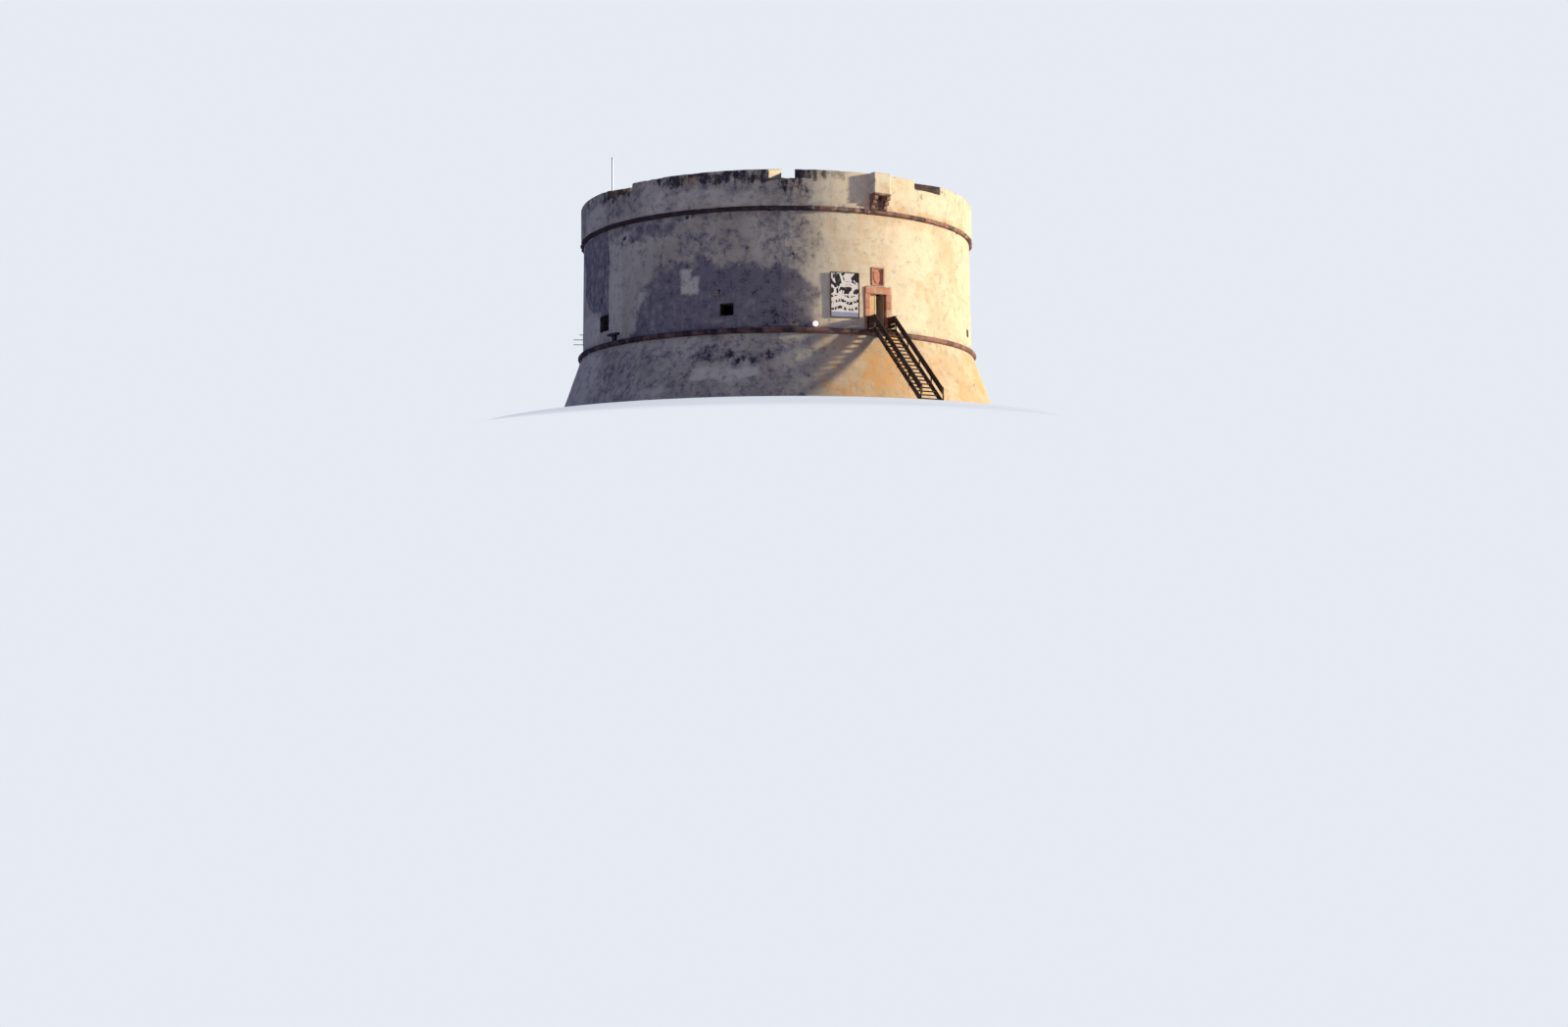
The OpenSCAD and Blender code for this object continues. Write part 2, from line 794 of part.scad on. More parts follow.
// Side outline of a stringer: sloped along the flight and level under the landing.
module stringer_outline() {
    bearer_top = floor_z - sill_t;
    under = stringer_h - stringer_over;
    polygon([
        [cordon_nose_r + cordon_gap, bearer_top], [landing_edge, bearer_top],
        [landing_edge, floor_z + stringer_over], [ground_x(stringer_over), 0], [ground_x(-under), 0],
        [landing_edge + (floor_z - under - bearer_top + bearer_h) / slope, bearer_top - bearer_h],
        [cordon_nose_r + cordon_gap, bearer_top - bearer_h]
    ]);
}

// Two closed stringers with a housing for each tread.
module stair_stringers() {
    color("#4a3a2e") at_az(door_az) difference() {
        for (y = [stair_w / 2, stringer_t - stair_w / 2])
            translate([0, y, 0]) rotate([90, 0, 0]) linear_extrude(stringer_t) stringer_outline();
        for (i = [1:stair_rises - 1]) tread(i, stair_w / 2 - stringer_t + housing);
    }
}

module stair_treads() {
    color("#a89274") at_az(door_az)
        for (i = [1:stair_rises - 1]) tread(i, stair_w / 2 - stringer_t + housing);
}

module landing_deck() {
    color("#6b5846") at_az(door_az)
        centred_block(frame_front + frame_proud / 2, landing_edge, stair_w, floor_z - sill_t, floor_z);
}

// Side outline of the guard planks: level at the landing, then down the flight.
module handrail_outline() {
    for (i = [0:rail_planks - 1]) {
        high = rail_over - i * (rail_h + rail_gap);
        polygon([
            [wall_post_x, floor_z + high], [landing_edge, floor_z + high], [rail_end, nosing(rail_end) + high],
            [rail_end, nosing(rail_end) + high - rail_h], [landing_edge, floor_z + high - rail_h],
            [wall_post_x, floor_z + high - rail_h]
        ]);
    }
}

// Guard planks, and the lowest planks that close the landing's sides.
module handrails() {
    guard_foot = rail_over - rail_planks * (rail_h + rail_gap) + rail_gap;
    color("#3f3128") at_az(door_az) for (side = [-1, 1]) {
        translate([0, side > 0 ? stair_w / 2 : stringer_t - stair_w / 2, 0])
            rotate([90, 0, 0]) linear_extrude(stringer_t) handrail_outline();
        centred_side(side, wall_post_x, landing_edge, stair_w / 2 - stringer_t, stringer_t,
            floor_z + kick_rise, floor_z + guard_foot - kick_gap);
    }
}

// A post outside the stringer, from the stringer's lower edge or its foot up to the rail's top.
module rail_post(side, x, foot, top) {
    centred_side(side, x, x + post_w, stair_w / 2, post_w, foot, top);
}

module stair_posts() {
    edge_x = landing_edge - post_w;
    span = (rail_end - post_w - landing_edge) / flight_posts;
    under = stringer_h - stringer_over;
    color("#3f3128") at_az(door_az) for (side = [-1, 1]) {
        rail_post(side, wall_post_x, cordon_top, floor_z + rail_over);
        rail_post(side, edge_x, floor_z - sill_t - bearer_h, floor_z + rail_over);
        for (i = [1:flight_posts]) {
            x = landing_edge + i * span;
            rail_post(side, x, max(0, nosing(x) - under), nosing(x + post_w) + rail_over);
        }
    }
}

// Thin board on two battens that stand against the round wall.
module poster_panel() {
    panel_z = cordon_top + panel_rise;
    batten_y = panel_w / 2 - 2 * batten_w;
    batten_back = sqrt(pow(back_x(panel_z + batten_w), 2) - batten_y * batten_y);
    color("#cfcabd") at_az(panel_az) {
        centred_block(drum_r + batten_t, drum_r + batten_t + panel_t, panel_w, panel_z, panel_z + panel_h);
        for (side = [-1, 1])
            centred_side(side, batten_back, drum_r + batten_t, batten_y, batten_w,
                panel_z + batten_w, panel_z + panel_h - batten_w);
    }
}

// Round bulkhead lamp: a short drum against the wall and a domed glass.
module wall_lamp() {
    glass_r = lamp_r - lamp_t / 4;
    dome_r = (glass_r * glass_r + lamp_glass_h * lamp_glass_h) / (2 * lamp_glass_h);
    low = cordon_top + lamp_lift;
    color("#e9e7df") at_az(lamp_az) translate([back_x(low), 0, low + lamp_r])
        rotate([0, 90, 0]) rotate_extrude() {
            square([lamp_r, lamp_t]);
            intersection() {
                translate([0, lamp_t + lamp_glass_h - dome_r]) circle(r = dome_r);
                square([lamp_r, lamp_t + 2 * lamp_glass_h]);
            }
        }
}

// Junction box on the cordon, with the trunking that runs along the cordon and up to the lamp.
module junction_box() {
    reach_y = drum_r * sin((lamp_az - jbox_az) / 2);
    color("#56504a") {
        at_az(jbox_az)
            centred_block(back_x(cordon_top), drum_r + jbox_d, jbox_w,
                cordon_top + fit, cordon_top + jbox_h);
        at_az((jbox_az + lamp_az) / 2) {
            block([back_x(cordon_top), -reach_y, cordon_top + fit],
                [back_x(cordon_top) + trunk_w, reach_y, cordon_top + trunk_w]);
            block([back_x(cordon_top), reach_y - trunk_w, cordon_top + fit],
                [back_x(cordon_top) + trunk_w, reach_y, cordon_top + lamp_lift - fit]);
        }
    }
}

// Trough light that shines up the wall, on a stand that rests on the cordon.
module floodlight() {
    rim = flood_h / 10;
    low = cordon_top + flood_rise;
    back = back_x(cordon_top);
    color("#2c2a29") at_az(flood_az) difference() {
        union() {
            centred_block(back, back + flood_d, flood_w, low, low + flood_h);
            centred_block(back, drum_r + cordon_h / 2, flood_stand_w, cordon_top + fit, low + rim);
        }
        centred_block(back + flood_d / 3, back + flood_d - rim, flood_w - 2 * rim,
            low + flood_h / 2, low + flood_h + eps);
    }
}

// Iron bar against the wall with two long arms and a short one for an old overhead line.
module line_bracket() {
    low = cordon_top + bracket_rise;
    back = back_x(low - bracket_bar_w);
    color("#38424c") at_az(bracket_az) {
        centred_block(back, back + bracket_bar_w / 2, bracket_bar_w,
            low - bracket_bar_w, low + 2 * arm_step + bracket_bar_w);
        for (i = [0:2]) translate([back + bracket_bar_w / 4, 0, low + i * arm_step])
            rotate([0, 90, 0]) cylinder(r = arm_r, h = i < 2 ? arm_reach : short_arm_reach);
    }
}

module flagpole() {
    plate = 3 * pole_r;
    color("#efefec") at_az(pole_az) translate([parapet_in_r - pole_inset, 0, terrace_z + fit]) {
        cylinder(r = plate, h = plate / 6);
        cylinder(r = pole_r, h = pole_h);
        translate([0, 0, pole_h]) sphere(r = pole_ball_r);
    }
}

scarp_base();
lower_cordon();
wall_left();
wall_front();
wall_door_left();
wall_door_right();
wall_over_door();
wall_right();
wall_side();
wall_far_right();
wall_back();
wall_back_left();
window_bays();
upper_cordon();
parapet();
terrace_fill();
terrace_paving();
room_vault();
room_floor();
door_sill();
door_jambs();
door_lintel();
stone_plaque();
door_leaf_left();
door_leaf_right();
door_straps_left();
door_straps_right();
door_pins();
machicolation_front();
machicolation_cheeks();
machicolation_lintel();
machicolation_corbels();
stair_stringers();
stair_treads();
landing_deck();
handrails();
stair_posts();
poster_panel();
wall_lamp();
junction_box();
floodlight();
line_bracket();
flagpole();
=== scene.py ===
import bpy
import math
import numpy as np
from mathutils import Matrix, Vector


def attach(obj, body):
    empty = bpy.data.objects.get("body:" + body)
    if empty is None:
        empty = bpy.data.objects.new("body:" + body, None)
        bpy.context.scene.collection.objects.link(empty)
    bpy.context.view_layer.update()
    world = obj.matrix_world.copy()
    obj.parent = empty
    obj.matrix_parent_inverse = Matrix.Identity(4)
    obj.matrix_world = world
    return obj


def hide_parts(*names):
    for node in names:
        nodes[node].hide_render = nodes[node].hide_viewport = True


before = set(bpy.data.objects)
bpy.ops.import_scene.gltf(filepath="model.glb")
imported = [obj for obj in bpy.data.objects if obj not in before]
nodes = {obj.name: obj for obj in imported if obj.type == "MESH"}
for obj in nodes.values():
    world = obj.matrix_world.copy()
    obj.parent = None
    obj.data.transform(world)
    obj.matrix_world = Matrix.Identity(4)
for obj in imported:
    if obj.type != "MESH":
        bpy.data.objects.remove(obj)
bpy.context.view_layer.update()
print("tower: frame loaded,", len(nodes), "nodes")

noiseSize = 32
noiseTable = np.random.default_rng(11).random((noiseSize, noiseSize, noiseSize)) * 2 - 1


# Value noise from -1 to 1: random numbers on a lattice with the given cell size in metres,
# blended between the eight corners of a cell by the curve t*t*(3 - 2*t).
def smoothNoise(points, cell, shift=0.0):
    spot = points / cell + shift
    low = np.floor(spot).astype(int)
    t = smoothStep(spot - low)
    total = 0.0
    for a in (0, 1):
        for b in (0, 1):
            for c in (0, 1):
                weight = np.abs(1 - a - t[..., 0]) * np.abs(1 - b - t[..., 1]) * np.abs(1 - c - t[..., 2])
                corner = (low + (a, b, c)) % noiseSize
                total = total + weight * noiseTable[corner[..., 0], corner[..., 1], corner[..., 2]]
    return total


# Sum of value noises, each with half the cell and half the strength of the last, over
# the sum of the strengths.
def roughNoise(points, cell, octaves=3, shift=0.0):
    total, strength, full = 0.0, 1.0, 0.0
    for k in range(octaves):
        total = total + strength * smoothNoise(points, cell / 2 ** k, shift + 7.3 * k)
        full += strength
        strength /= 2
    return total / full


# 0 below 0, 1 above 1, and the curve t*t*(3 - 2*t) between.
def smoothStep(t):
    t = np.clip(t, 0, 1)
    return t * t * (3 - 2 * t)


# Point at an azimuth in degrees (0 is the doorway's side, -Y, growing towards +X),
# a distance from the axis and a height: (r sin a, -r cos a, z).
def polar(az, r, z):
    a = np.radians(az)
    return np.stack(np.broadcast_arrays(r * np.sin(a), -r * np.cos(a), z), -1)


# Puts points drawn with X outwards, Y to the right and Z up so that X faces an azimuth.
def facing(az, points):
    a = math.radians(az)
    x, y, z = points[..., 0], points[..., 1], points[..., 2]
    return np.stack([x * math.sin(a) + y * math.cos(a), y * math.sin(a) - x * math.cos(a), z], -1)


# Four-cornered faces between neighbours of a grid of rows and columns. They face
# outwards where columns grow in azimuth and rows in height.
def gridFaces(rows, columns, closed=False):
    ids = np.arange(rows * columns).reshape(rows, columns)
    ahead = np.roll(ids, -1, axis=1)
    if not closed:
        ids, ahead = ids[:, :-1], ahead[:, :-1]
    return np.stack([ids[:-1], ahead[:-1], ahead[1:], ids[1:]], -1).reshape(-1, 4)


# Outside of the solid cells of a block lattice whose axes make a right-handed set, the
# second of them a ring where it is closed. Gives the lattice places of the corners
# used, and the faces between them.
def latticeSkin(solid, closed=False):
    shape = np.array(solid.shape)
    padded = np.pad(solid, 1)
    if closed:
        padded[:, 0], padded[:, -1] = padded[:, -2], padded[:, 1]
    count = shape + 1
    if closed:
        count[1] -= 1
    faces = []
    for axis in range(3):
        one, two = (axis + 1) % 3, (axis + 2) % 3
        cells = [slice(1, -1)] * 3
        cells[axis] = slice(0, -1)
        below = padded[tuple(cells)]
        cells[axis] = slice(1, None)
        above = padded[tuple(cells)]
        for flip, mask in ((False, below & ~above), (True, above & ~below)):
            place = np.argwhere(mask)
            if closed and axis == 1:
                place = place[place[:, 1] < shape[1]]
            corners = []
            for a, b in ((0, 0), (1, 0), (1, 1), (0, 1)):
                corner = place.copy()
                corner[:, one] += a
                corner[:, two] += b
                if closed:
                    corner[:, 1] %= count[1]
                corners.append((corner[:, 0] * count[1] + corner[:, 1]) * count[2] + corner[:, 2])
            if flip:
                corners.reverse()
            faces.append(np.stack(corners, -1))
    used, faces = np.unique(np.concatenate(faces), return_inverse=True)
    places = np.stack([used // (count[1] * count[2]), used // count[2] % count[1], used % count[2]], -1)
    return places, faces.reshape(-1, 4)


# Direction out of the surface at each point: the sum of the cross products of the
# diagonals of the faces that meet there.
def outwards(points, faces):
    cross = np.cross(points[faces[:, 2]] - points[faces[:, 0]], points[faces[:, 3]] - points[faces[:, 1]])
    total = np.zeros_like(points)
    for k in range(4):
        for axis in range(3):
            total[:, axis] += np.bincount(faces[:, k], cross[:, axis], len(points))
    return total / np.maximum(np.linalg.norm(total, axis=1, keepdims=True), 1e-9)


# Rounds arrises: each round, a point moves by the pull towards the middle of its
# neighbours. Gives the points and how far each of them moved.
def wornEdges(points, faces, rounds=2, pull=0.5):
    start = points
    ends = np.concatenate([faces[:, (k, (k + 1) % 4)] for k in range(4)])
    ends = np.unique(np.sort(ends, axis=1), axis=0)
    both = np.concatenate([ends, ends[:, ::-1]])
    share = np.bincount(both[:, 0], minlength=len(points))
    for _ in range(rounds):
        middle = np.stack([np.bincount(both[:, 0], points[both[:, 1], axis], len(points)) for axis in range(3)], 1)
        points = points + pull * (middle / share[:, None] - points)
    return points, np.linalg.norm(points - start, axis=1)


# Six times the volume inside a closed mesh, below zero where its faces point inwards.
def signedVolume(points, faces):
    a, b, c, d = (points[faces[:, k]] for k in range(4))
    return np.sum(a * np.cross(b, c)) + np.sum(a * np.cross(c, d))


# Joins shapes, each of points, faces and masks, into one.
def joined(shapes):
    starts = np.cumsum([0] + [len(shape[0]) for shape in shapes[:-1]])
    points = np.concatenate([shape[0] for shape in shapes])
    faces = np.concatenate([shape[1] + start for shape, start in zip(shapes, starts)])
    masks = {key: np.concatenate([shape[2][key] for shape in shapes]) for key in shapes[0][2]}
    return points, faces, masks


# Bar through sections of four corners each. Every corner is rounded with three points on
# an arc, the ends are drawn in by the bevel, and the caps are strips of four-cornered
# faces. Its grain runs along the mask "grain": length, then the two ways across.
def bar(sections, bevel, seed, steps=1, rough=0.0):
    arc, roughCell, grainReach = 0.293, 0.11, 20
    sections = np.asarray(sections, float)
    if steps > 1:
        t = np.linspace(0, len(sections) - 1, (len(sections) - 1) * steps + 1)
        low = np.minimum(t.astype(int), len(sections) - 2)
        sections = sections[low] + (t - low)[:, None, None] * (sections[low + 1] - sections[low])
    before, after = np.roll(sections, 1, 1) - sections, np.roll(sections, -1, 1) - sections
    before /= np.linalg.norm(before, axis=-1, keepdims=True)
    after /= np.linalg.norm(after, axis=-1, keepdims=True)
    rings = np.stack([sections + bevel * before, sections + arc * bevel * (before + after),
                      sections + bevel * after], 2).reshape(len(sections), 12, 3)
    middle = sections.mean(1)
    along = np.diff(middle, axis=0)
    along /= np.linalg.norm(along, axis=1, keepdims=True)
    ends = []
    for k, way in ((0, along[0]), (-1, -along[-1])):
        out = rings[k] - middle[k]
        ends.append(rings[k] - bevel * out / np.linalg.norm(out, axis=1, keepdims=True))
        rings[k] = rings[k] + bevel * way
    rings = np.concatenate([ends[0][None], rings, ends[1][None]])
    points = rings.reshape(-1, 3)
    faces = gridFaces(len(rings), 12, closed=True)
    strip = np.array([[k, k + 1, 10 - k, 11 - k] for k in range(5)])
    last = (len(rings) - 1) * 12
    faces = np.concatenate([faces, strip[:, ::-1], strip + last])
    if signedVolume(points, faces) < 0:
        faces = faces[:, ::-1]
    centre = rings.mean(1)
    length = np.concatenate([[0], np.cumsum(np.linalg.norm(np.diff(centre, axis=0), axis=1))])
    local = rings - centre[:, None]
    sideways = np.sum(local * after[0, 0], -1)
    upright = np.sum(local * before[0, 0], -1)
    shift = np.random.default_rng(seed).random(3) * grainReach
    grain = np.stack([np.broadcast_to(length[:, None], sideways.shape), sideways, upright], -1).reshape(-1, 3) + shift
    tone = np.full(len(points), np.random.default_rng(seed + 7).random())
    if rough:
        points = points + rough * outwards(points, faces) * smoothNoise(points, roughCell, seed)[:, None]
    return points, faces, {"grain": grain, "tone": tone}


# Corners of a straight board's two sections, for its box in a frame that faces an azimuth.
# Axis says which way the grain runs: 0 outwards, 1 to the right, 2 upwards.
def boardSections(low, high, axis):
    one, two = (axis + 1) % 3, (axis + 2) % 3
    sections = np.empty((2, 4, 3))
    for row, end in enumerate((low, high)):
        for k, (a, b) in enumerate(((low, low), (high, low), (high, high), (low, high))):
            sections[row, k, axis] = end[axis]
            sections[row, k, one] = a[one]
            sections[row, k, two] = b[two]
    return sections


# Stone block: a cube's surface grid, crowded towards its edges by t ** 0.7, where each
# point beyond the inner box is set at the edge radius from it, then roughened inwards.
def stoneBlock(low, high, radius, seed, steps=8, rough=0.003, cell=0.09):
    low, high = np.asarray(low, float), np.asarray(high, float)
    places, faces = latticeSkin(np.ones((steps, steps, steps), bool))
    t = places / steps * 2 - 1
    t = np.sign(t) * np.abs(t) ** 0.7
    points = low + (t + 1) / 2 * (high - low)
    inner = np.clip(points, low + radius, high - radius)
    way = points - inner
    points = inner + radius * way / np.maximum(np.linalg.norm(way, axis=1, keepdims=True), 1e-9)
    random = np.random.default_rng(seed)
    relief = np.abs(rough * roughNoise(points, cell, 2, random.random() * 20))
    points = points - relief[:, None] * outwards(points, faces)
    return points, faces, {key: np.full(len(points), random.random()) for key in ("tone", "crust")}


# Makes a piece from points, faces and masks, with nothing under the ground, and says which body it rides on and which
# nodes it stands for. The slot is not used.
def makePiece(name, shape, look, slot, body="tower", replaces=()):
    points, faces, masks = shape
    points[:, 2] = np.maximum(points[:, 2], 0)
    mesh = bpy.data.meshes.new(name)
    mesh.vertices.add(len(points))
    mesh.vertices.foreach_set("co", points.astype(np.float32).ravel())
    mesh.loops.add(faces.size)
    mesh.loops.foreach_set("vertex_index", faces.astype(np.int32).ravel())
    mesh.polygons.add(len(faces))
    mesh.polygons.foreach_set("loop_start", np.arange(0, faces.size, 4, dtype=np.int32))
    mesh.update(calc_edges=True)
    mesh.polygons.foreach_set("use_smooth", np.full(len(faces), True))
    for key, values in masks.items():
        layer = mesh.attributes.new(key, "FLOAT" if values.ndim == 1 else "FLOAT_VECTOR", "POINT")
        layer.data.foreach_set("value" if values.ndim == 1 else "vector", values.astype(np.float32).ravel())
    mesh.materials.append(materials[look])
    piece = bpy.data.objects.new(name, mesh)
    bpy.context.scene.collection.objects.link(piece)
    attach(piece, body)
    if replaces:
        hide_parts(*replaces)


# Joins shapes drawn with X outwards, turns them to an azimuth and makes them one piece.
def makeFacing(name, shapes, look, slot, azimuth=0.0, **more):
    points, faces, masks = joined(shapes)
    makePiece(name, (facing(azimuth, points), faces, masks), look, slot, **more)


# Keeps only the points that the faces use.
def keepUsed(points, faces, masks):
    used, faces = np.unique(faces, return_inverse=True)
    return points[used], faces.reshape(-1, 4), {key: values[used] for key, values in masks.items()}


# Colour written as #rrggbb, as the linear values that shaders use.
def colour(text):
    parts = [int(text[k:k + 2], 16) / 255 for k in (1, 3, 5)]
    return tuple(p / 12.92 if p <= 0.04045 else ((p + 0.055) / 1.055) ** 2.4 for p in parts) + (1.0,)


# A node whose inputs are linked from sockets or set to values.
def addNode(tree, kind, values=None, **settings):
    node = tree.nodes.new(kind)
    for key, value in settings.items():
        setattr(node, key, value)
    for key, value in (values or {}).items():
        if isinstance(value, bpy.types.NodeSocket):
            tree.links.new(value, node.inputs[key])
        else:
            node.inputs[key].default_value = value
    return node


def maths(tree, operation, a, b=0.0, clamp=False):
    return addNode(tree, "ShaderNodeMath", {0: a, 1: b}, operation=operation, use_clamp=clamp).outputs[0]


def times(tree, a, b):
    return maths(tree, "MULTIPLY", a, b)


# 1 - value.
def rest(tree, value):
    return maths(tree, "SUBTRACT", 1.0, value)


# Start + the sum of part * weight.
def weighted(tree, start, *parts):
    for part, weight in parts:
        start = maths(tree, "ADD", start, times(tree, part, weight))
    return start


# Mask + the sum of (noise - 1/2) * weight, which breaks up the mask's edge.
def broken(tree, mask, *noises):
    for noise, weight in noises:
        mask = maths(tree, "ADD", mask, times(tree, maths(tree, "SUBTRACT", noise, 0.5), weight))
    return mask


def mixColour(tree, factor, a, b, blend="MIX"):
    node = addNode(tree, "ShaderNodeMix", {0: factor, 6: a, 7: b}, data_type="RGBA", blend_type=blend)
    return node.outputs[2]


# A colour laid over the base by mask * share.
def laid(tree, base, over, mask, share):
    return mixColour(tree, times(tree, mask, share), base, over)


# The base with a share of itself overlaid by a noise.
def grained(tree, base, noise, share):
    return mixColour(tree, share, base, mixColour(tree, 1.0, base, noise, "OVERLAY"))


# 0 to 1 as the value goes from low to high.
def ramp(tree, value, low, high):
    node = addNode(tree, "ShaderNodeMapRange", {0: value, 1: low, 2: high, 3: 0.0, 4: 1.0},
                   interpolation_type="SMOOTHSTEP", clamp=True)
    return node.outputs[0]


def noiseNode(tree, spot, scale, detail=4.0, roughness=0.55, stretch=None, distortion=0.0, output="Fac"):
    if stretch:
        spot = addNode(tree, "ShaderNodeMapping", {"Vector": spot, "Scale": stretch}).outputs[0]
    node = addNode(tree, "ShaderNodeTexNoise", {"Vector": spot, "Scale": scale, "Detail": detail,
                                                "Roughness": roughness, "Distortion": distortion})
    return node.outputs[output]


# A group that takes a place, colours and numbers. All of them put out a colour, a
# roughness and a height, and some a number more.
def startGroup(name, colours, numbers="", more=""):
    tree = bpy.data.node_groups.new(name, "ShaderNodeTree")
    for side, kind, keys in (("INPUT", "NodeSocketVector", "Spot"), ("INPUT", "NodeSocketColor", colours),
                             ("INPUT", "NodeSocketFloat", numbers), ("OUTPUT", "NodeSocketColor", "Color"),
                             ("OUTPUT", "NodeSocketFloat", "Roughness Height " + more)):
        for key in keys.split():
            tree.interface.new_socket(key, in_out=side, socket_type=kind)
    return tree, tree.nodes.new("NodeGroupInput").outputs, tree.nodes.new("NodeGroupOutput").inputs


def finishGroup(tree, result, **values):
    for key, value in values.items():
        tree.links.new(value, result[key])
    return tree


# Rubble masonry: Voronoi stones flattened in height, one tone a stone, bulging out of
# the mortar between them.
def buildRubbleGroup():
    tree, given, result = startGroup("rubbleMasonry", "Stone Other Mortar")
    spot = given["Spot"]
    drift = noiseNode(tree, spot, 1.7, 3.0, output="Color")
    bent = addNode(tree, "ShaderNodeMix", {0: 0.10, 4: spot, 5: drift}, data_type="VECTOR").outputs[1]
    sized = addNode(tree, "ShaderNodeMapping", {"Vector": bent, "Scale": (2.9, 2.9, 4.6)}).outputs[0]
    cells = {"Vector": sized, "Scale": 1.0}
    stones = addNode(tree, "ShaderNodeTexVoronoi", cells).outputs["Color"]
    edges = addNode(tree, "ShaderNodeTexVoronoi", cells, feature="DISTANCE_TO_EDGE").outputs["Distance"]
    cloud = noiseNode(tree, spot, 5.0, 7.0, 0.68)
    fine = noiseNode(tree, spot, 40.0, 5.0, 0.7)
    base = mixColour(tree, stones, given["Stone"], given["Other"])
    base = laid(tree, base, given["Mortar"], ramp(tree, cloud, 0.4, 0.7), 0.5)
    mortar = rest(tree, ramp(tree, weighted(tree, edges, (cloud, 0.06)), 0.06, 0.14))
    base = grained(tree, mixColour(tree, mortar, base, given["Mortar"]), fine, 0.35)
    height = weighted(tree, ramp(tree, edges, 0.0, 0.22), (cloud, 0.35), (fine, 0.12))
    return finishGroup(tree, result, Color=base, Roughness=weighted(tree, 0.8, (fine, 0.15)), Height=height)


# Lime plaster: clouds and mottling between two colours, runs of dirt, and where the grime mask is high, dark growth
# that breaks into specks. Lost shows the rubble behind it. The grime and lichen masks also lay painted shade, and the
# wash mask lays painted light.
def buildPlasterGroup():
    tree, given, result = startGroup("limePlaster", "Pale Body Dirt Growth Stain", "Grime Wash Rust Lichen Lost")
    spot = given["Spot"]
    cloud = noiseNode(tree, spot, 0.45, 5.0, 0.6)
    mottle = noiseNode(tree, spot, 2.3, 8.0, 0.68)
    blots = noiseNode(tree, spot, 6.0, 5.0, 0.6, distortion=0.4)
    fine = noiseNode(tree, spot, 15.0, 8.0, 0.72)
    runs = noiseNode(tree, spot, 1.0, 5.0, 0.62, stretch=(3.4, 3.4, 0.32))
    base = laid(tree, given["Body"], given["Pale"], ramp(tree, cloud, 0.35, 0.66), 0.5)
    base = laid(tree, base, given["Dirt"], ramp(tree, mottle, 0.46, 0.68), 0.50)
    base = laid(tree, base, given["Dirt"], ramp(tree, fine, 0.50, 0.72), 0.45)
    base = laid(tree, base, given["Stain"], ramp(tree, blots, 0.56, 0.70), 0.30)
    # the grime mask lays dirt and, in some patches, painted shade
    grimeAndShadeBroken = broken(tree, given["Grime"], (mottle, 1.5), (runs, 0.5), (fine, 0.6))
    base = laid(tree, base, given["Dirt"], ramp(tree, grimeAndShadeBroken, 0.15, 0.85), 0.9)
    # the lichen mask lays dark growth and, on the embrasure cheeks and between the corbels, painted shade
    lichenAndShadeBroken = broken(tree, given["Lichen"], (runs, 1.5), (mottle, 1.4), (fine, 1.0))
    base = laid(tree, base, given["Growth"], ramp(tree, lichenAndShadeBroken, 0.42, 0.80), 0.85)
    specks = weighted(tree, times(tree, fine, 0.8), (mottle, 0.5), (grimeAndShadeBroken, 0.10))
    base = laid(tree, base, given["Growth"], ramp(tree, specks, 0.79, 0.88), 0.8)
    # the wash, which in some patches is painted light, is worn off in spots, and the ochre stain lies over it
    gone = times(tree, ramp(tree, maths(tree, "ADD", mottle, fine), 0.95, 1.3), 0.7)
    base = mixColour(tree, times(tree, given["Wash"], rest(tree, gone)), base, given["Pale"])
    ochre = ramp(tree, noiseNode(tree, spot, 0.8, 5.0, 0.62, distortion=0.6), 0.42, 0.66)
    ochre = times(tree, times(tree, ochre, given["Rust"]), 0.6)
    base = mixColour(tree, weighted(tree, ochre, (given["Rust"], 0.3)), base, given["Stain"])
    rubble = addNode(tree, "ShaderNodeGroup", node_tree=groups["rubble"])
    tree.links.new(spot, rubble.inputs["Spot"])
    for key, text in (("Stone", "#a98a6c"), ("Other", "#86705e"), ("Mortar", "#cdb994")):
        rubble.inputs[key].default_value = colour(text)
    bare = ramp(tree, broken(tree, given["Lost"], (fine, 0.8)), 0.42, 0.58)
    base = mixColour(tree, bare, base, mixColour(tree, 0.35, rubble.outputs["Color"], base))
    grain = noiseNode(tree, spot, 60.0, 6.0, 0.7)
    relief = times(tree, rubble.outputs["Height"], bare)
    height = weighted(tree, times(tree, mottle, 0.6), (fine, 0.30), (grain, 0.08), (relief, 0.9))
    return finishGroup(tree, result, Color=grained(tree, base, grain, 0.2),
                       Roughness=weighted(tree, 0.82, (fine, 0.14)),
                       Height=maths(tree, "SUBTRACT", height, times(tree, bare, 0.7)))


# Cut volcanic stone: one tone a block, clouds, dark pores and pale crust.
def buildStoneGroup():
    tree, given, result = startGroup("cutStone", "Stone Deep Crust", "Tone Crusted")
    spot = given["Spot"]
    cloud = noiseNode(tree, spot, 4.0, 6.0, 0.62)
    fine = noiseNode(tree, spot, 38.0, 6.0, 0.7)
    pores = addNode(tree, "ShaderNodeTexVoronoi", {"Vector": spot, "Scale": 46.0}).outputs["Distance"]
    tone = maths(tree, "ADD", times(tree, cloud, 0.6), times(tree, given["Tone"], 0.8), clamp=True)
    base = mixColour(tree, tone, given["Stone"], given["Deep"])
    pore = times(tree, rest(tree, ramp(tree, pores, 0.08, 0.3)), 0.55)
    base = mixColour(tree, pore, base, given["Deep"])
    crust = ramp(tree, noiseNode(tree, spot, 2.1, 7.0, 0.7), 0.46, 0.66)
    base = laid(tree, base, given["Crust"], crust, given["Crusted"])
    height = weighted(tree, times(tree, cloud, 0.5), (fine, 0.3))
    return finishGroup(tree, result, Color=grained(tree, base, fine, 0.3),
                       Roughness=weighted(tree, 0.74, (fine, 0.2)),
                       Height=maths(tree, "SUBTRACT", height, times(tree, pore, 0.5)))


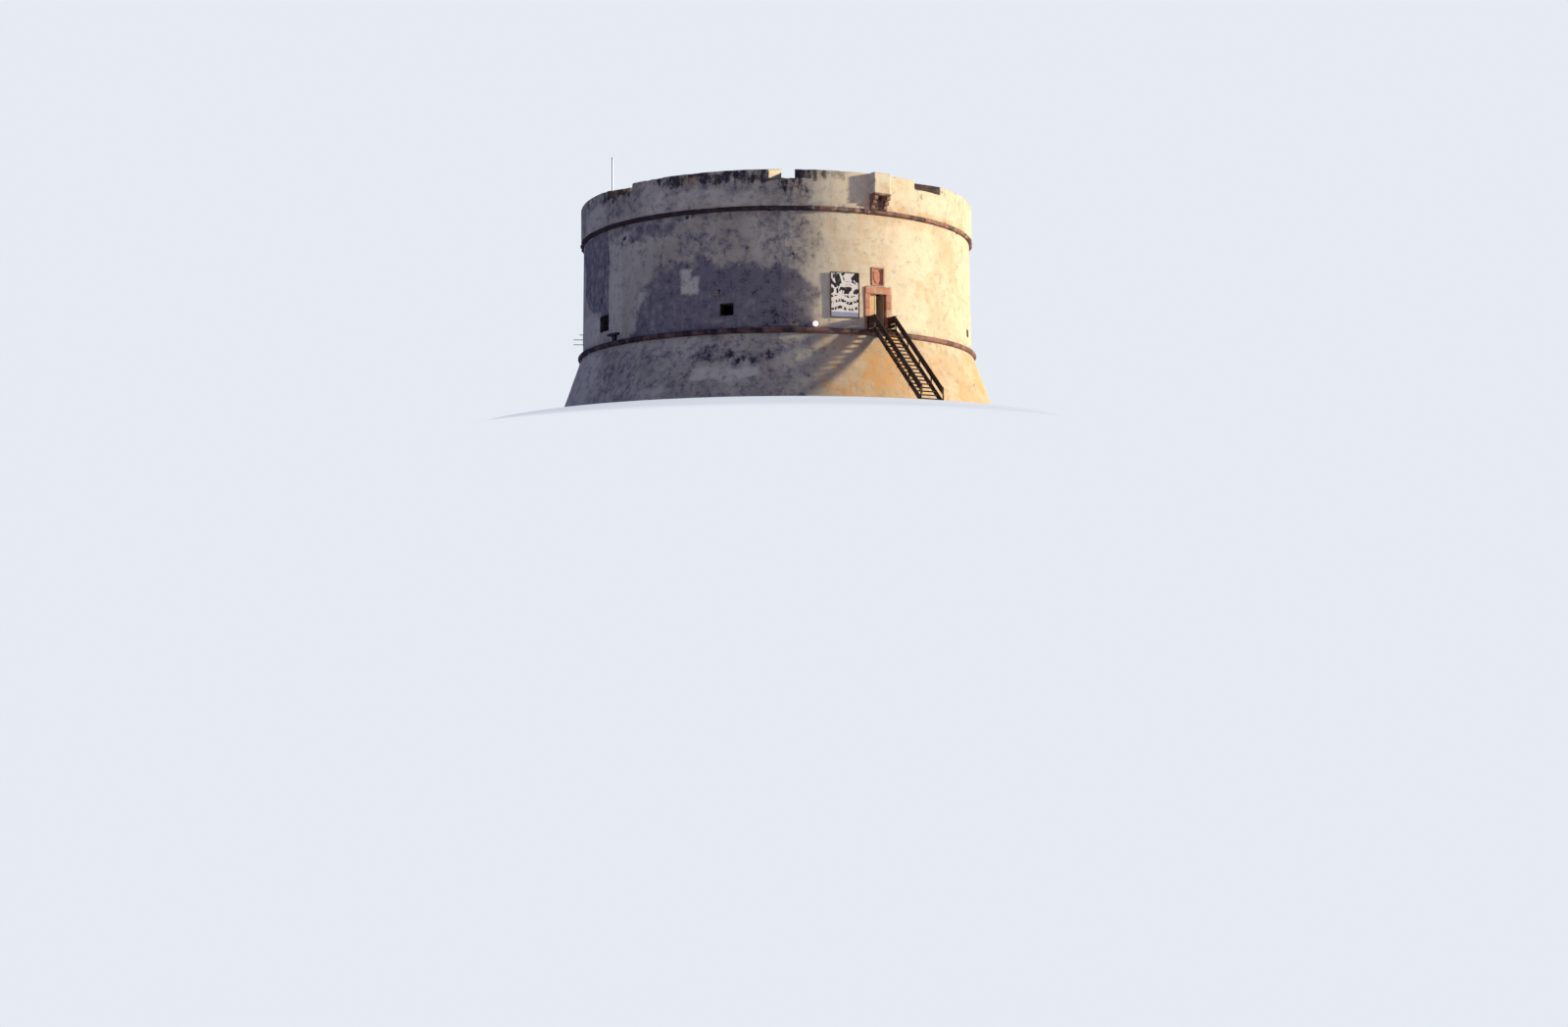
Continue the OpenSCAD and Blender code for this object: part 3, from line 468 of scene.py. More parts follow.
# Weathered timber: grain lines along the board's own X, silver-grey wear and dark splits.
def buildTimberGroup():
    tree, given, result = startGroup("oldTimber", "Wood Dark Silver", "Wear Tone")
    spot = given["Spot"]
    grain = noiseNode(tree, spot, 1.0, 7.0, 0.65, stretch=(1.6, 46.0, 46.0), distortion=0.3)
    bands = noiseNode(tree, spot, 1.0, 3.0, 0.5, stretch=(0.7, 9.0, 9.0))
    cloud = noiseNode(tree, spot, 2.4, 4.0, 0.6)
    split = ramp(tree, noiseNode(tree, spot, 1.0, 2.0, 0.5, stretch=(0.9, 30.0, 30.0)), 0.68, 0.73)
    base = mixColour(tree, ramp(tree, grain, 0.36, 0.66), given["Dark"], given["Wood"])
    base = laid(tree, base, given["Dark"], ramp(tree, bands, 0.4, 0.7), 0.4)
    base = laid(tree, base, given["Dark"], given["Tone"], 0.35)
    base = laid(tree, base, given["Silver"], ramp(tree, cloud, 0.38, 0.7), given["Wear"])
    base = laid(tree, base, given["Dark"], split, 0.7)
    return finishGroup(tree, result, Color=base, Roughness=weighted(tree, 0.66, (grain, 0.25)),
                       Height=maths(tree, "SUBTRACT", grain, times(tree, split, 0.6)))


# Painted or bare iron that rusts in patches.
def buildMetalGroup():
    tree, given, result = startGroup("rustedMetal", "Paint RustColour", "Rusted", "Metal")
    spot = given["Spot"]
    cloud = noiseNode(tree, spot, 7.0, 7.0, 0.65)
    fine = noiseNode(tree, spot, 90.0, 4.0, 0.6)
    rust = ramp(tree, weighted(tree, cloud, (given["Rusted"], 0.4)), 0.6, 0.78)
    base = mixColour(tree, rust, given["Paint"], given["RustColour"])
    return finishGroup(tree, result, Color=grained(tree, base, fine, 0.3),
                       Roughness=weighted(tree, 0.42, (rust, 0.45)),
                       Height=times(tree, rust, maths(tree, "ADD", fine, 0.6)),
                       Metal=times(tree, rest(tree, rust), 0.3))


# Weathered print on a sheet, from its own place in metres: dark leafy shapes on an off-white ground above, waves of
# short strokes below, and a blue-grey band at the foot that is painted shadow of the landing. The waves are the sine of
# 17 * height + 1.3 * sin(6 * across).
def buildPrintGroup():
    tree, given, result = startGroup("fadedPrint", "Ground Shapes Foot Worn")
    spot = given["Spot"]
    across, upright = addNode(tree, "ShaderNodeSeparateXYZ", {0: spot}).outputs[:2]
    leaves = noiseNode(tree, spot, 1.0, 2.0, 0.45, stretch=(1.9, 1.5, 1.0), distortion=1.6)
    sway = maths(tree, "SINE", times(tree, across, 6.0))
    wave = maths(tree, "SINE", weighted(tree, times(tree, upright, 17.0), (sway, 1.3)))
    strokes = noiseNode(tree, spot, 1.0, 2.0, 0.5, stretch=(9.0, 3.0, 1.0), distortion=0.5)
    upper = times(tree, ramp(tree, leaves, 0.48, 0.51), ramp(tree, upright, 1.22, 1.28))
    band = maths(tree, "SUBTRACT", ramp(tree, upright, 0.34, 0.38), ramp(tree, upright, 1.16, 1.20))
    lower = times(tree, times(tree, ramp(tree, wave, 0.05, 0.35), ramp(tree, strokes, 0.44, 0.48)), band)
    base = mixColour(tree, maths(tree, "ADD", upper, lower, clamp=True), given["Ground"], given["Shapes"])
    # painted shadow: a blue-grey band along the foot of the sheet
    shadowFoot = rest(tree, ramp(tree, weighted(tree, upright, (strokes, 0.08)), 0.28, 0.36))
    base = laid(tree, base, given["Foot"], shadowFoot, 0.85)
    worn = ramp(tree, noiseNode(tree, spot, 5.0, 7.0, 0.7), 0.55, 0.72)
    return finishGroup(tree, result, Color=laid(tree, base, given["Worn"], worn, 0.5),
                       Roughness=weighted(tree, 0.5, (worn, 0.3)), Height=worn)


groups = {"rubble": buildRubbleGroup()}
groups.update(plaster=buildPlasterGroup(), stone=buildStoneGroup(), timber=buildTimberGroup(),
              metal=buildMetalGroup(), print=buildPrintGroup())
shine = {"rubble": 0.15, "plaster": 0.15, "stone": 0.3, "timber": 0.3, "metal": 0.5, "glass": 0.7, "print": 0.3}
materials = {}


# A material round one of the groups. Values are colours, numbers or the names of mask attributes on the mesh; relief is
# the height of its bumps in metres. The painted shade darkens what lies beyond a first distance from the axis, fully so
# beyond the second: painted shade in recessed reveals.
def makeMaterial(name, group, relief, spot=None, paintedShade=None, glow=0.0, **values):
    material = bpy.data.materials.new(name)
    material.use_nodes = True
    tree = material.node_tree
    shader = tree.nodes["Principled BSDF"]
    place = (addNode(tree, "ShaderNodeAttribute", attribute_name=spot).outputs["Vector"] if spot
             else addNode(tree, "ShaderNodeTexCoord").outputs["Object"])
    node = addNode(tree, "ShaderNodeGroup", node_tree=groups[group])
    tree.links.new(place, node.inputs["Spot"])
    for key, value in values.items():
        if isinstance(value, str) and value.startswith("#"):
            node.inputs[key].default_value = colour(value)
        elif isinstance(value, str):
            mask = addNode(tree, "ShaderNodeAttribute", attribute_name=value)
            tree.links.new(mask.outputs["Fac"], node.inputs[key])
        else:
            node.inputs[key].default_value = value
    base = node.outputs["Color"]
    # painted shade: a dark brown laid over what lies beyond the first distance
    if paintedShade:
        level = addNode(tree, "ShaderNodeVectorMath", {0: place, 1: (1.0, 1.0, 0.0)}, operation="MULTIPLY")
        away = addNode(tree, "ShaderNodeVectorMath", {0: level.outputs["Vector"]}, operation="LENGTH")
        base = laid(tree, base, colour("#2b211c"), ramp(tree, away.outputs["Value"], *paintedShade), 0.8)
    if glow:
        tree.links.new(base, shader.inputs["Emission Color"])
        shader.inputs["Emission Strength"].default_value = glow
    tree.links.new(base, shader.inputs["Base Color"])
    tree.links.new(node.outputs["Roughness"], shader.inputs["Roughness"])
    if "Metal" in node.outputs:
        tree.links.new(node.outputs["Metal"], shader.inputs["Metallic"])
    bump = addNode(tree, "ShaderNodeBump", {"Height": node.outputs["Height"], "Strength": 1.0, "Distance": relief})
    tree.links.new(bump.outputs["Normal"], shader.inputs["Normal"])
    shader.inputs["Specular IOR Level"].default_value = shine["glass" if glow else group]
    materials[name] = material


plaster = {"Pale": "#f8e8bf", "Body": "#cbba95", "Dirt": "#827876", "Growth": "#2a2526", "Stain": "#dcae78"}
wallMasks = {"Grime": "grime", "Wash": "wash", "Rust": "rust", "Lichen": "lichen", "Lost": "lost"}
rubble = {"Stone": "#b89c7a", "Other": "#8a735e", "Mortar": "#d2c09a"}
redStone = {"Stone": "#eeae86", "Deep": "#bd7a58", "Crust": "#e8d0a8"}
blockMasks = {"Tone": "tone", "Crusted": "crust"}

makeMaterial("wallRender", "plaster", 0.035, **plaster, **wallMasks)
makeMaterial("footRender", "plaster", 0.035, **dict(plaster, Stain="#e6ab66"), **wallMasks)
makeMaterial("insideLimewash", "plaster", 0.02, **plaster, Grime=0.1, Wash=0.3, Rust=0.1)
makeMaterial("bareMasonry", "rubble", 0.06, **rubble)
# painted shade in the reveals of the windows and the door passage, beyond 8.05 m from the axis
makeMaterial("revealMasonryShaded", "rubble", 0.06, paintedShade=(8.05, 8.6), **rubble)
makeMaterial("redStone", "stone", 0.012, **redStone, Tone=0.35, Crusted=0.35)
makeMaterial("redBlocks", "stone", 0.012, **redStone, **blockMasks)
makeMaterial("cordonStone", "stone", 0.012, Stone="#b58168", Deep="#3d2c2c", Crust="#b59d84", **blockMasks)
makeMaterial("boxStone", "stone", 0.012, Stone="#c79579", Deep="#74503f", Crust="#d8c2a2", **blockMasks)
makeMaterial("pavingSlabs", "stone", 0.008, Stone="#b8a687", Deep="#746654", Crust="#d6caad", **blockMasks)
makeMaterial("beddingMortar", "stone", 0.01, Stone="#96866c", Deep="#5c5041", Crust="#b5a687", Tone=0.4, Crusted=0.3)
for name, relief, spot, wood, dark, silver, wear, tone in (
        ("darkTimber", 0.004, "grain", "#66472f", "#281a11", "#7d6852", 0.5, "tone"),
        ("treadTimber", 0.004, "grain", "#6d553f", "#30241b", "#8a7966", 0.5, "tone"),
        ("doorTimber", 0.002, "grain", "#fae3b0", "#d6ab6b", "#f0e0b8", 0.25, "tone"),
        ("panelTimber", 0.003, None, "#8a7458", "#4c3c2c", "#a39a88", 0.6, 0.3)):
    makeMaterial(name, "timber", relief, spot, Wood=wood, Dark=dark, Silver=silver, Wear=wear, Tone=tone)
for name, relief, paint, rust, rusted, glow in (
        ("oldIron", 0.002, "#2a2b2e", "#6a3d22", 0.35, 0.0), ("greyMetal", 0.001, "#5d5a55", "#5a3b27", 0.1, 0.0),
        ("whitePaint", 0.001, "#e6e3da", "#8f6a48", -0.45, 0.0), ("blackMetal", 0.001, "#24221f", "#52321d", 0.1, 0.0),
        ("opalGlass", 0.0005, "#fbe6d4", "#dcb793", -0.3, 0.9)):
    makeMaterial(name, "metal", relief, glow=glow, Paint=paint, RustColour=rust, Rusted=rusted)
# the blue-grey foot colour is painted shadow of the landing
makeMaterial("fadedPrint", "print", 0.001, "sheet", Ground="#fdf2dc", Shapes="#241f1e", Foot="#8e99ad", Worn="#dccbaa")

nodeLooks = {
    "bareMasonry": ["scarp_base", "terrace_fill", "parapet", "machicolation_front", "machicolation_cheeks"],
    "revealMasonryShaded": ["window_bays"] + [name for name in nodes if name.startswith("wall_") and name != "wall_lamp"],
    "insideLimewash": ["room_vault"],
    "redStone": ["door_sill", "door_lintel", "stone_plaque", "machicolation_lintel", "machicolation_corbels",
                 "lower_cordon", "upper_cordon", "door_jambs"],
    "beddingMortar": ["room_floor", "terrace_paving"],
    "panelTimber": ["stair_stringers", "handrails", "stair_posts", "stair_treads", "landing_deck", "poster_panel",
                    "door_leaf_left", "door_leaf_right"],
    "oldIron": ["door_straps_left", "door_straps_right", "door_pins"],
    "greyMetal": ["junction_box"],
    "whitePaint": ["flagpole", "wall_lamp"],
    "blackMetal": ["floodlight", "line_bracket"],
}
for look, names in nodeLooks.items():
    for name in names:
        nodes[name].data.materials.clear()
        nodes[name].data.materials.append(materials[look])
print("tower: materials made,", len(materials))


# Corners of a patch between two azimuths and two heights.
def box(start, stop, low, high):
    return [(start, low), (stop, low), (stop, high), (start, high)]


# Weathering by place, with painted light and shade among it: the corners of each patch as azimuths and heights, the
# softness of its edge in metres, and its strength. The sides that face away repeat in kind.
patches = {
    "dark": [(-69.0, 7.3), (-64.2, 7.8), (-60.7, 8.3), (-56.4, 8.5), (-49.7, 8.65), (-46.0, 8.2), (-41.6, 8.0),
             (-38.5, 8.3), (-33.7, 8.2), (-31.3, 7.85), (-28.4, 8.1), (-22.4, 7.55), (-17.6, 6.8), (-16.6, 5.6),
             (-17.5, 3.4), (-77.0, 3.4), (-73.5, 5.0), (-71.8, 6.2)],
    "heart": [(-54.0, 7.3), (-49.8, 8.1), (-37.3, 8.0), (-26.6, 7.6), (-20.3, 7.1), (-19.8, 6.1), (-31.4, 5.9),
              (-43.5, 6.1), (-52.5, 6.2)],
    "low": [(-34.0, 5.5), (-28.4, 5.75), (-22.5, 5.5), (-19.5, 5.2), (-20.3, 3.9), (-34.4, 3.9)],
    "brown": [(-57.0, 10.1), (-51.0, 10.0), (-39.7, 9.8), (-36.5, 8.6), (-57.0, 8.5)],
    "left": [(-84.8, 10.8), (-84.8, 6.0), (-88.5, 5.8), (-94, 6.0), (-99, 6.7), (-105, 7.6), (-104, 8.9),
             (-108, 9.8), (-107, 10.8)],
    "back": [(98, 6.2), (112, 5.6), (131, 5.9), (149, 6.8), (160, 8.0), (151, 9.3), (133, 8.9), (118, 9.6),
             (104, 8.8)],
    "far": [(-178, 5.6), (-160, 5.2), (-141, 5.9), (-132, 7.2), (-144, 8.7), (-158, 8.2), (-171, 8.8)],
    "baseShade": [(-85.2, 3.8), (-67.8, 3.6), (-66.0, 1.2), (-85.4, 1.9)],
    "baseBlotch": [(-52.1, 3.0), (-49.2, 3.5), (-41.4, 3.6), (-37.2, 3.3), (-28.0, 3.2), (-26.9, 2.6),
                   (-30.8, 2.3), (-37.1, 2.7), (-50.1, 2.55)],
    "baseBack": [(80, 0.9), (104, 0.4), (139, 0.8), (168, 1.3), (160, 2.9), (132, 2.4), (101, 3.2), (84, 2.3)],
    "baseFar": [(-180, 1.2), (-158, 0.6), (-134, 1.4), (-131, 2.7), (-149, 3.5), (-172, 2.8)],
}
drumWearAndLight = {
    "grime": [(patches["dark"], 0.9, 0.78), (patches["heart"], 1.0, 0.95), (patches["low"], 0.6, 1.4),
              (patches["brown"], 0.8, 0.40), (patches["left"], 0.16, 0.72), (patches["back"], 0.8, 0.6),
              (patches["far"], 0.8, 0.62), (box(-84, -14, 8.2, 10.8), 1.5, 0.22),
              # painted shade: the patch from -34 to -20 darkens the wall where the key light only grazes it, which
              # sharpens the edge of the lit side
              (box(-34, -20, 7.2, 10.8), 1.0, 0.46), (box(-74.3, -59, 9.7, 10.5), 0.5, 0.62),
              (box(-38.7, -33.6, 10.2, 10.7), 0.3, 0.60), (box(-27, -17, 9.1, 10.3), 0.8, 0.50),
              # painted shadow: the patch from -14.8 to -6.0, between the lower cordon and the poster, is the landing's
              # shadow
              (box(-84, -16, 10.35, 10.9), 0.5, 0.55), (box(-14.8, -6.0, 4.4, 5.02), 0.12, 0.62),
              (box(66, 84, 4.4, 7.0), 0.7, 0.4)],
    "wash": [(box(-56.0, -52.9, 6.4, 7.85), 0.2, 0.85), (box(-53.2, -50.5, 6.3, 7.3), 0.2, 0.85),
             (box(-84.2, -78.6, 4.7, 9.9), 0.30, 0.42), (box(-110, -89.9, 4.75, 6.3), 0.35, 0.6),
             # painted light: these two wash patches make the wall near the door, which the key light only grazes,
             # brighter than the wall that it strikes head on
             (box(-17.5, 20, 4.4, 10.8), 1.4, 0.88), (box(14, 64, 4.4, 10.8), 2.5, 0.30),
             (box(120, 128, 5.4, 6.9), 0.3, 0.5)],
    "rust": [(box(3, 8, 9.1, 10.0), 0.5, 0.8), (box(13, 19, 6.2, 7.2), 0.5, 0.7),
             (box(-16, 6, 4.4, 10.8), 2.0, 0.5), (box(20, 34, 7.4, 10.4), 0.9, 0.5),
             (box(-12, 62, 4.4, 10.8), 1.5, 0.25), (box(-9, 24, 10.2, 10.8), 0.3, 0.6)],
    "lichen": [(box(-77.4, -76.3, 9.98, 10.14), 0.05, 1.6), (box(-54.9, -53.9, 10.56, 10.7), 0.05, 1.6),
               (box(-84, -74, 9.4, 10.5), 0.6, 0.36), (box(-66, -17, 7.7, 8.9), 0.4, 0.26),
               (box(-33, -20, 4.5, 5.5), 0.5, 0.34), (box(-90, -84.9, 6.5, 9.5), 0.5, 0.36)],
}
baseWear = {
    "grime": [(patches["baseBlotch"], 0.35, 0.62), (patches["baseShade"], 0.6, 0.42),
              (patches["baseBack"], 0.9, 0.45), (patches["baseFar"], 0.9, 0.5), (box(-112, -20, 0.0, 4.1), 1.0, 0.36),
              (box(-34, -16, 2.6, 4.1), 0.5, 0.4), (box(-180, 180, -1.0, 0.35), 0.5, 0.35)],
    "wash": [(box(-51.5, -33, 1.65, 2.3), 0.2, 0.8), (box(-66, -58, 0.6, 1.6), 0.5, 0.5),
             (box(-112, -86, 0.5, 3.9), 0.4, 0.5)],
    "rust": [(box(-17, 14, 0.2, 4.0), 0.9, 1.0), (box(14, 60, 0.3, 3.9), 1.2, 0.75),
             (box(60, 130, 0.3, 3.8), 1.2, 0.4)],
    "lichen": [(patches["baseBlotch"], 0.5, 0.50)],
}


# How far points lie inside a closed outline, in metres, below zero outside of it: the
# distance to its nearest side, with the side told by how often a level line crosses it.
def insideOutline(corners, across, upright):
    nearest, inside = np.full(len(across), 1e9), np.zeros(len(across), bool)
    for (x, y), (xNext, yNext) in zip(corners, corners[1:] + corners[:1]):
        dx, dy = xNext - x, yNext - y
        t = np.clip(((across - x) * dx + (upright - y) * dy) / (dx * dx + dy * dy), 0, 1)
        nearest = np.minimum(nearest, np.hypot(across - x - t * dx, upright - y - t * dy))
        if dy:
            inside ^= ((y > upright) != (yNext > upright)) & (across < x + (upright - y) * dx / dy)
    return np.where(inside, nearest, -nearest)


# Strength of one kind of weathering at each point, painted light and shade included: the largest of its patches, whose
# outlines are bent by noise at several sizes, less where their edges are sharp.
def wearAndLightMask(wear, az, z, flat, radius):
    wander, sharp = 0.7, 0.4
    across = wander * roughNoise(flat, 1.3, 5, 3.1)
    upright = wander * roughNoise(flat, 1.1, 5, 11.4)
    strength = np.zeros(len(flat))
    scale = math.radians(radius)
    for corners, edge, power in wear:
        middle = (corners[0][0] + corners[-1 if len(corners) > 4 else 1][0]) / 2
        bend = min(1.0, edge / sharp)
        outline = [(a * scale, height) for a, height in corners]
        turned = (middle + (az - middle + 180) % 360 - 180) * scale
        gap = insideOutline(outline, turned + across * bend, z + upright * bend)
        strength = np.maximum(strength, power * smoothStep(gap / edge + 0.5))
    return strength


# All masks of a wall's weathering and its painted light and shade, with the grime drifting by a broad noise.
def wallWearAndLight(kinds, az, z, flat, radius, drift, driftCell):
    wear = {kind: wearAndLightMask(spots, az, z, flat, radius) for kind, spots in kinds.items()}
    wear["grime"] += drift * roughNoise(flat, driftCell, 3, 5.0)
    return wear


# Thickness of the render: a coat that swells and blisters by noise and is worn thin where another noise, helped by the
# grime mask with its painted shade, passes the loss share.
def renderCoat(flat, look, wear):
    lost = smoothStep((roughNoise(flat, 0.9, 5, 2.0) + 0.18 * wear["grime"] - look["lossShare"]) / 0.08)
    wear["lost"] = lost
    return (look["coat"] + look["swell"] * smoothNoise(flat, 2.4) + look["blister"] * smoothNoise(flat, 0.7, 4)
            + look["pock"] * smoothNoise(flat, look["pockCell"], 9) - look["lossDepth"] * lost)


# Grid lines from start to stop at about the step, with the nearest line moved onto
# each place that has to have one.
def snappedLines(start, stop, step, places):
    lines = np.linspace(start, stop, int(round((stop - start) / step)) + 1)
    for place in places:
        lines[np.argmin(np.abs(lines[1:-1] - place)) + 1] = place
    return np.unique(lines)


# Distance in metres outside of a window's outline: negative within it.
def outsideWindow(az, z, window, radius):
    across = np.abs((az - window[0] + 180) % 360 - 180) * math.radians(radius) - window[1] / 2
    return np.maximum(across, np.maximum(window[2] - z, z - window[3]))


# each opening: azimuth, width, foot and head
drum = {"foot": 4.44, "top": 10.80, "footRadius": 11.25, "topRadius": 11.20, "coat": 0.020, "swell": 0.008,
        "blister": 0.006, "pock": 0.0035, "pockCell": 0.2, "lossDepth": 0.016, "lossShare": 0.58, "row": 0.062,
        "frontStep": 0.29, "backStep": 0.42, "front": (-118.0, 68.0), "lip": 0.035, "turnedIn": 0.03, "thin": 0.05,
        "openings": [(-87.5, 1.00, 5.19, 6.04), (-42.8, 0.76, 5.19, 5.81), (45.6, 0.58, 5.19, 5.56),
                     (90.0, 0.76, 5.19, 5.81), (135.0, 0.76, 5.19, 5.81), (-135.0, 0.76, 5.19, 5.81),
                     (0.0, 1.62, 4.30, 6.81), (0.0, 0.76, 6.91, 7.89)]}


# Render on the drum: the wall's radius plus the coat, which turns in round each window,
# the door frame and the plaque, and thins to nothing at the cordons.
def drumRender(name, start, stop, step):
    places, levels = [], []
    foot, top, radius = drum["foot"], drum["top"], drum["footRadius"]
    lip = math.degrees(drum["lip"] / radius)
    for az, width, low, high in drum["openings"]:
        half = math.degrees(math.asin(width / 2 / radius))
        for turn in (-360, 0, 360):
            places += [az + turn - half, az + turn + half, az + turn - half - lip, az + turn + half + lip]
        levels += [low, high, low - drum["lip"], high + drum["lip"]]
    azLines = snappedLines(start, stop, step, [p for p in places if start < p < stop])
    zLines = snappedLines(foot, top, drum["row"], sorted(set(round(v, 3) for v in levels if v > foot)))
    z, az = np.meshgrid(zLines, azLines, indexing="ij")
    wallRadius = radius + (drum["topRadius"] - radius) * (z - foot) / (top - foot)
    flat = polar(az, wallRadius, z).reshape(-1, 3)
    az, z, wallRadius = az.ravel(), z.ravel(), wallRadius.ravel()
    wear = wallWearAndLight(drumWearAndLight, az, z, flat, radius, 0.10, 3.0)
    wear["lichen"] += 0.35 * smoothStep((z - 10.35) / 0.5) * smoothStep(smoothNoise(flat, 2.2, 8.0) + 0.6)
    coat = renderCoat(flat, drum, wear)
    gap = np.min([outsideWindow(az, z, window, radius) for window in drum["openings"]], axis=0)
    coat = np.where(gap < 0.004, -drum["turnedIn"], coat)
    edge = smoothStep((top - z) / drum["thin"]) * smoothStep((z - foot) / drum["thin"])
    points = polar(az, wallRadius + coat * edge - 0.01 * (1 - edge), z)
    faces = gridFaces(len(zLines), len(azLines))
    centre = flat[faces].mean(1)
    azMid = np.degrees(np.arctan2(centre[:, 0], -centre[:, 1]))
    keep = np.min([outsideWindow(azMid, centre[:, 2], window, radius) for window in drum["openings"]], axis=0) > 0
    makePiece(name, keepUsed(points, faces[keep], wear), "wallRender", "drum_plaster")


drumRender("drumRenderFront", drum["front"][0], drum["front"][1], drum["frontStep"])
drumRender("drumRenderBack", drum["front"][1], drum["front"][0] + 360, drum["backStep"])

base = {"height": 4.16, "footRadius": 12.86, "topRadius": 11.38, "middleRadius": 12.2, "coat": 0.020,
        "swell": 0.009, "blister": 0.007, "pock": 0.004, "pockCell": 0.22, "lossDepth": 0.018, "lossShare": 0.53,
        "row": 0.066, "step": 0.33, "footThin": 0.25, "topThin": 0.06}


# Render on the battered base, worn like the drum's and thinning to nothing at the ground.
def baseRender():
    azLines = np.linspace(-180, 180, int(360 / base["step"]) + 1)[:-1]
    zLines = np.linspace(0, base["height"], int(base["height"] / base["row"]) + 1)
    z, az = np.meshgrid(zLines, azLines, indexing="ij")
    radius = base["footRadius"] + (base["topRadius"] - base["footRadius"]) * z / base["height"]
    flat = polar(az, radius, z).reshape(-1, 3)
    az, z, radius = az.ravel(), z.ravel(), radius.ravel()
    wear = wallWearAndLight(baseWear, az, z, flat, base["middleRadius"], 0.10, 3.0)
    coat = renderCoat(flat, base, wear)
    coat = coat * smoothStep(z / base["footThin"]) * smoothStep((base["height"] - z) / base["topThin"])
    shape = (polar(az, radius + coat, z), gridFaces(len(zLines), len(azLines), closed=True), wear)
    makePiece("baseRender", shape, "footRender", "base_plaster")


baseRender()
print("tower: drum and base rendered")

parapet = {"inner": 9.90, "outer": 11.37, "foot": 11.0005, "top": 12.97, "rise": 0.34, "sill": 12.50, "floor": 11.75,
           "mouth": 2.31, "throat": 0.70, "gap": 0.61, "start": -50.0, "step": 0.33,
           "embrasures": [-25.1, 18.6, 65.0, 115.0, 170.0, 226.0, 281.5], "sunlitCheek": -28.5,
           "swell": 0.010, "blister": 0.007, "pock": 0.004, "chip": 0.055, "slump": 0.05, "lossDepth": 0.012}
parapetWearAndLight = {
    # painted shade: the first grime patch darkens the recess between the corbels
    "grime": [(box(-1.36, 1.36, 10.8, 11.9), 0.05, 1.6), (box(-112, -60, 11.0, 13.0), 0.6, 0.40),
              (box(-60, -18, 11.0, 13.0), 0.8, 0.50), (box(-64, -22, 12.2, 13.2), 0.4, 0.62),
              (box(90, 270, 11.0, 13.0), 2.0, 0.3)],
    "wash": [(box(-58, -34, 11.05, 11.9), 0.4, 0.5), (box(-70, -60, 11.2, 12.3), 0.4, 0.4),
             # painted light: the wash patches from -15 to 60 brighten the parapet near the door, which the key light
             # only grazes, more than where it strikes head on
             (box(-15, 14, 11.0, 13.0), 1.0, 0.8), (box(14, 60, 11.0, 13.0), 1.0, 0.35),
             (box(-100, -85, 11.1, 12.2), 0.5, 0.5), (box(-21, -14, 11.1, 12.4), 0.5, 0.5)],
    "rust": [(box(14, 23, 12.5, 13.0), 0.1, 1.0), (box(-14, 12, 11.0, 13.0), 0.8, 0.45),
             (box(-55, -51, 12.4, 12.8), 0.2, 0.8), (box(-9, 40, 11.0, 11.3), 0.15, 0.9)],
    # painted shade: the first lichen patch darkens the recess between the corbels
    "lichen": [(box(-1.36, 1.36, 10.8, 11.9), 0.05, 0.7), (box(-64, -25, 12.2, 13.3), 0.7, 0.74),
               (box(-30, -20, 11.8, 12.9), 0.5, 0.55), (box(-86, -70, 12.3, 13.3), 0.6, 0.72),
               (box(-23, -9, 12.45, 13.3), 0.6, 0.62), (box(-72, -63, 12.6, 13.3), 0.4, 0.6),
               (box(-9, 14, 12.8, 13.3), 0.3, 0.5), (box(24, 60, 12.85, 13.3), 0.3, 0.3),
               (box(60, 270, 12.45, 13.3), 0.7, 0.5)],
}


# Height at a distance from the axis once the parapet's top slopes up inwards: levels over
# the sill are stretched so that the top climbs by the rise over the parapet's depth.
def sloped(level, radius):
    climb = parapet["rise"] * np.clip((parapet["outer"] - radius) / (parapet["outer"] - parapet["inner"]), 0, 1)
    return level + climb * np.clip((level - parapet["sill"]) / (parapet["top"] - parapet["sill"]), 0, 1)


# The lattice column of each azimuth's gap, and the azimuth of each column at each radius:
# columns gather onto the splayed cheeks of the embrasures and onto the gap over the door.
# An embrasure's half width grows evenly with its depth, half = inside + (outside - inside)
# * depth inside the parapet / its whole depth, found by eight rounds.
def parapetColumns(radii, count):
    depth = parapet["outer"] - parapet["inner"]
    widths = sorted([(az, parapet["throat"] / 2, parapet["mouth"] / 2) for az in parapet["embrasures"]]
                    + [(0.0, parapet["gap"] / 2, parapet["gap"] / 2)])
    knots, turns, gaps = [0], [np.full(len(radii), parapet["start"])], []
    for az, inside, outside in widths:
        half = np.full(len(radii), inside)
        for _ in range(8):
            half = inside + (outside - inside) * (np.sqrt(radii ** 2 - half ** 2) - parapet["inner"]) / depth
        angle = np.degrees(np.arcsin(half / radii))
        first = int(round((az - angle[-1] - parapet["start"]) / parapet["step"]))
        last = int(round((az + angle[-1] - parapet["start"]) / parapet["step"]))
        knots += [first, last]
        turns += [az - angle, az + angle]
        gaps.append((first, last, parapet["sill"] if outside > inside else parapet["floor"]))
    knots.append(count)
    turns.append(np.full(len(radii), parapet["start"] + 360))
    return np.stack([np.interp(np.arange(count), knots, row) for row in np.array(turns).T]), gaps


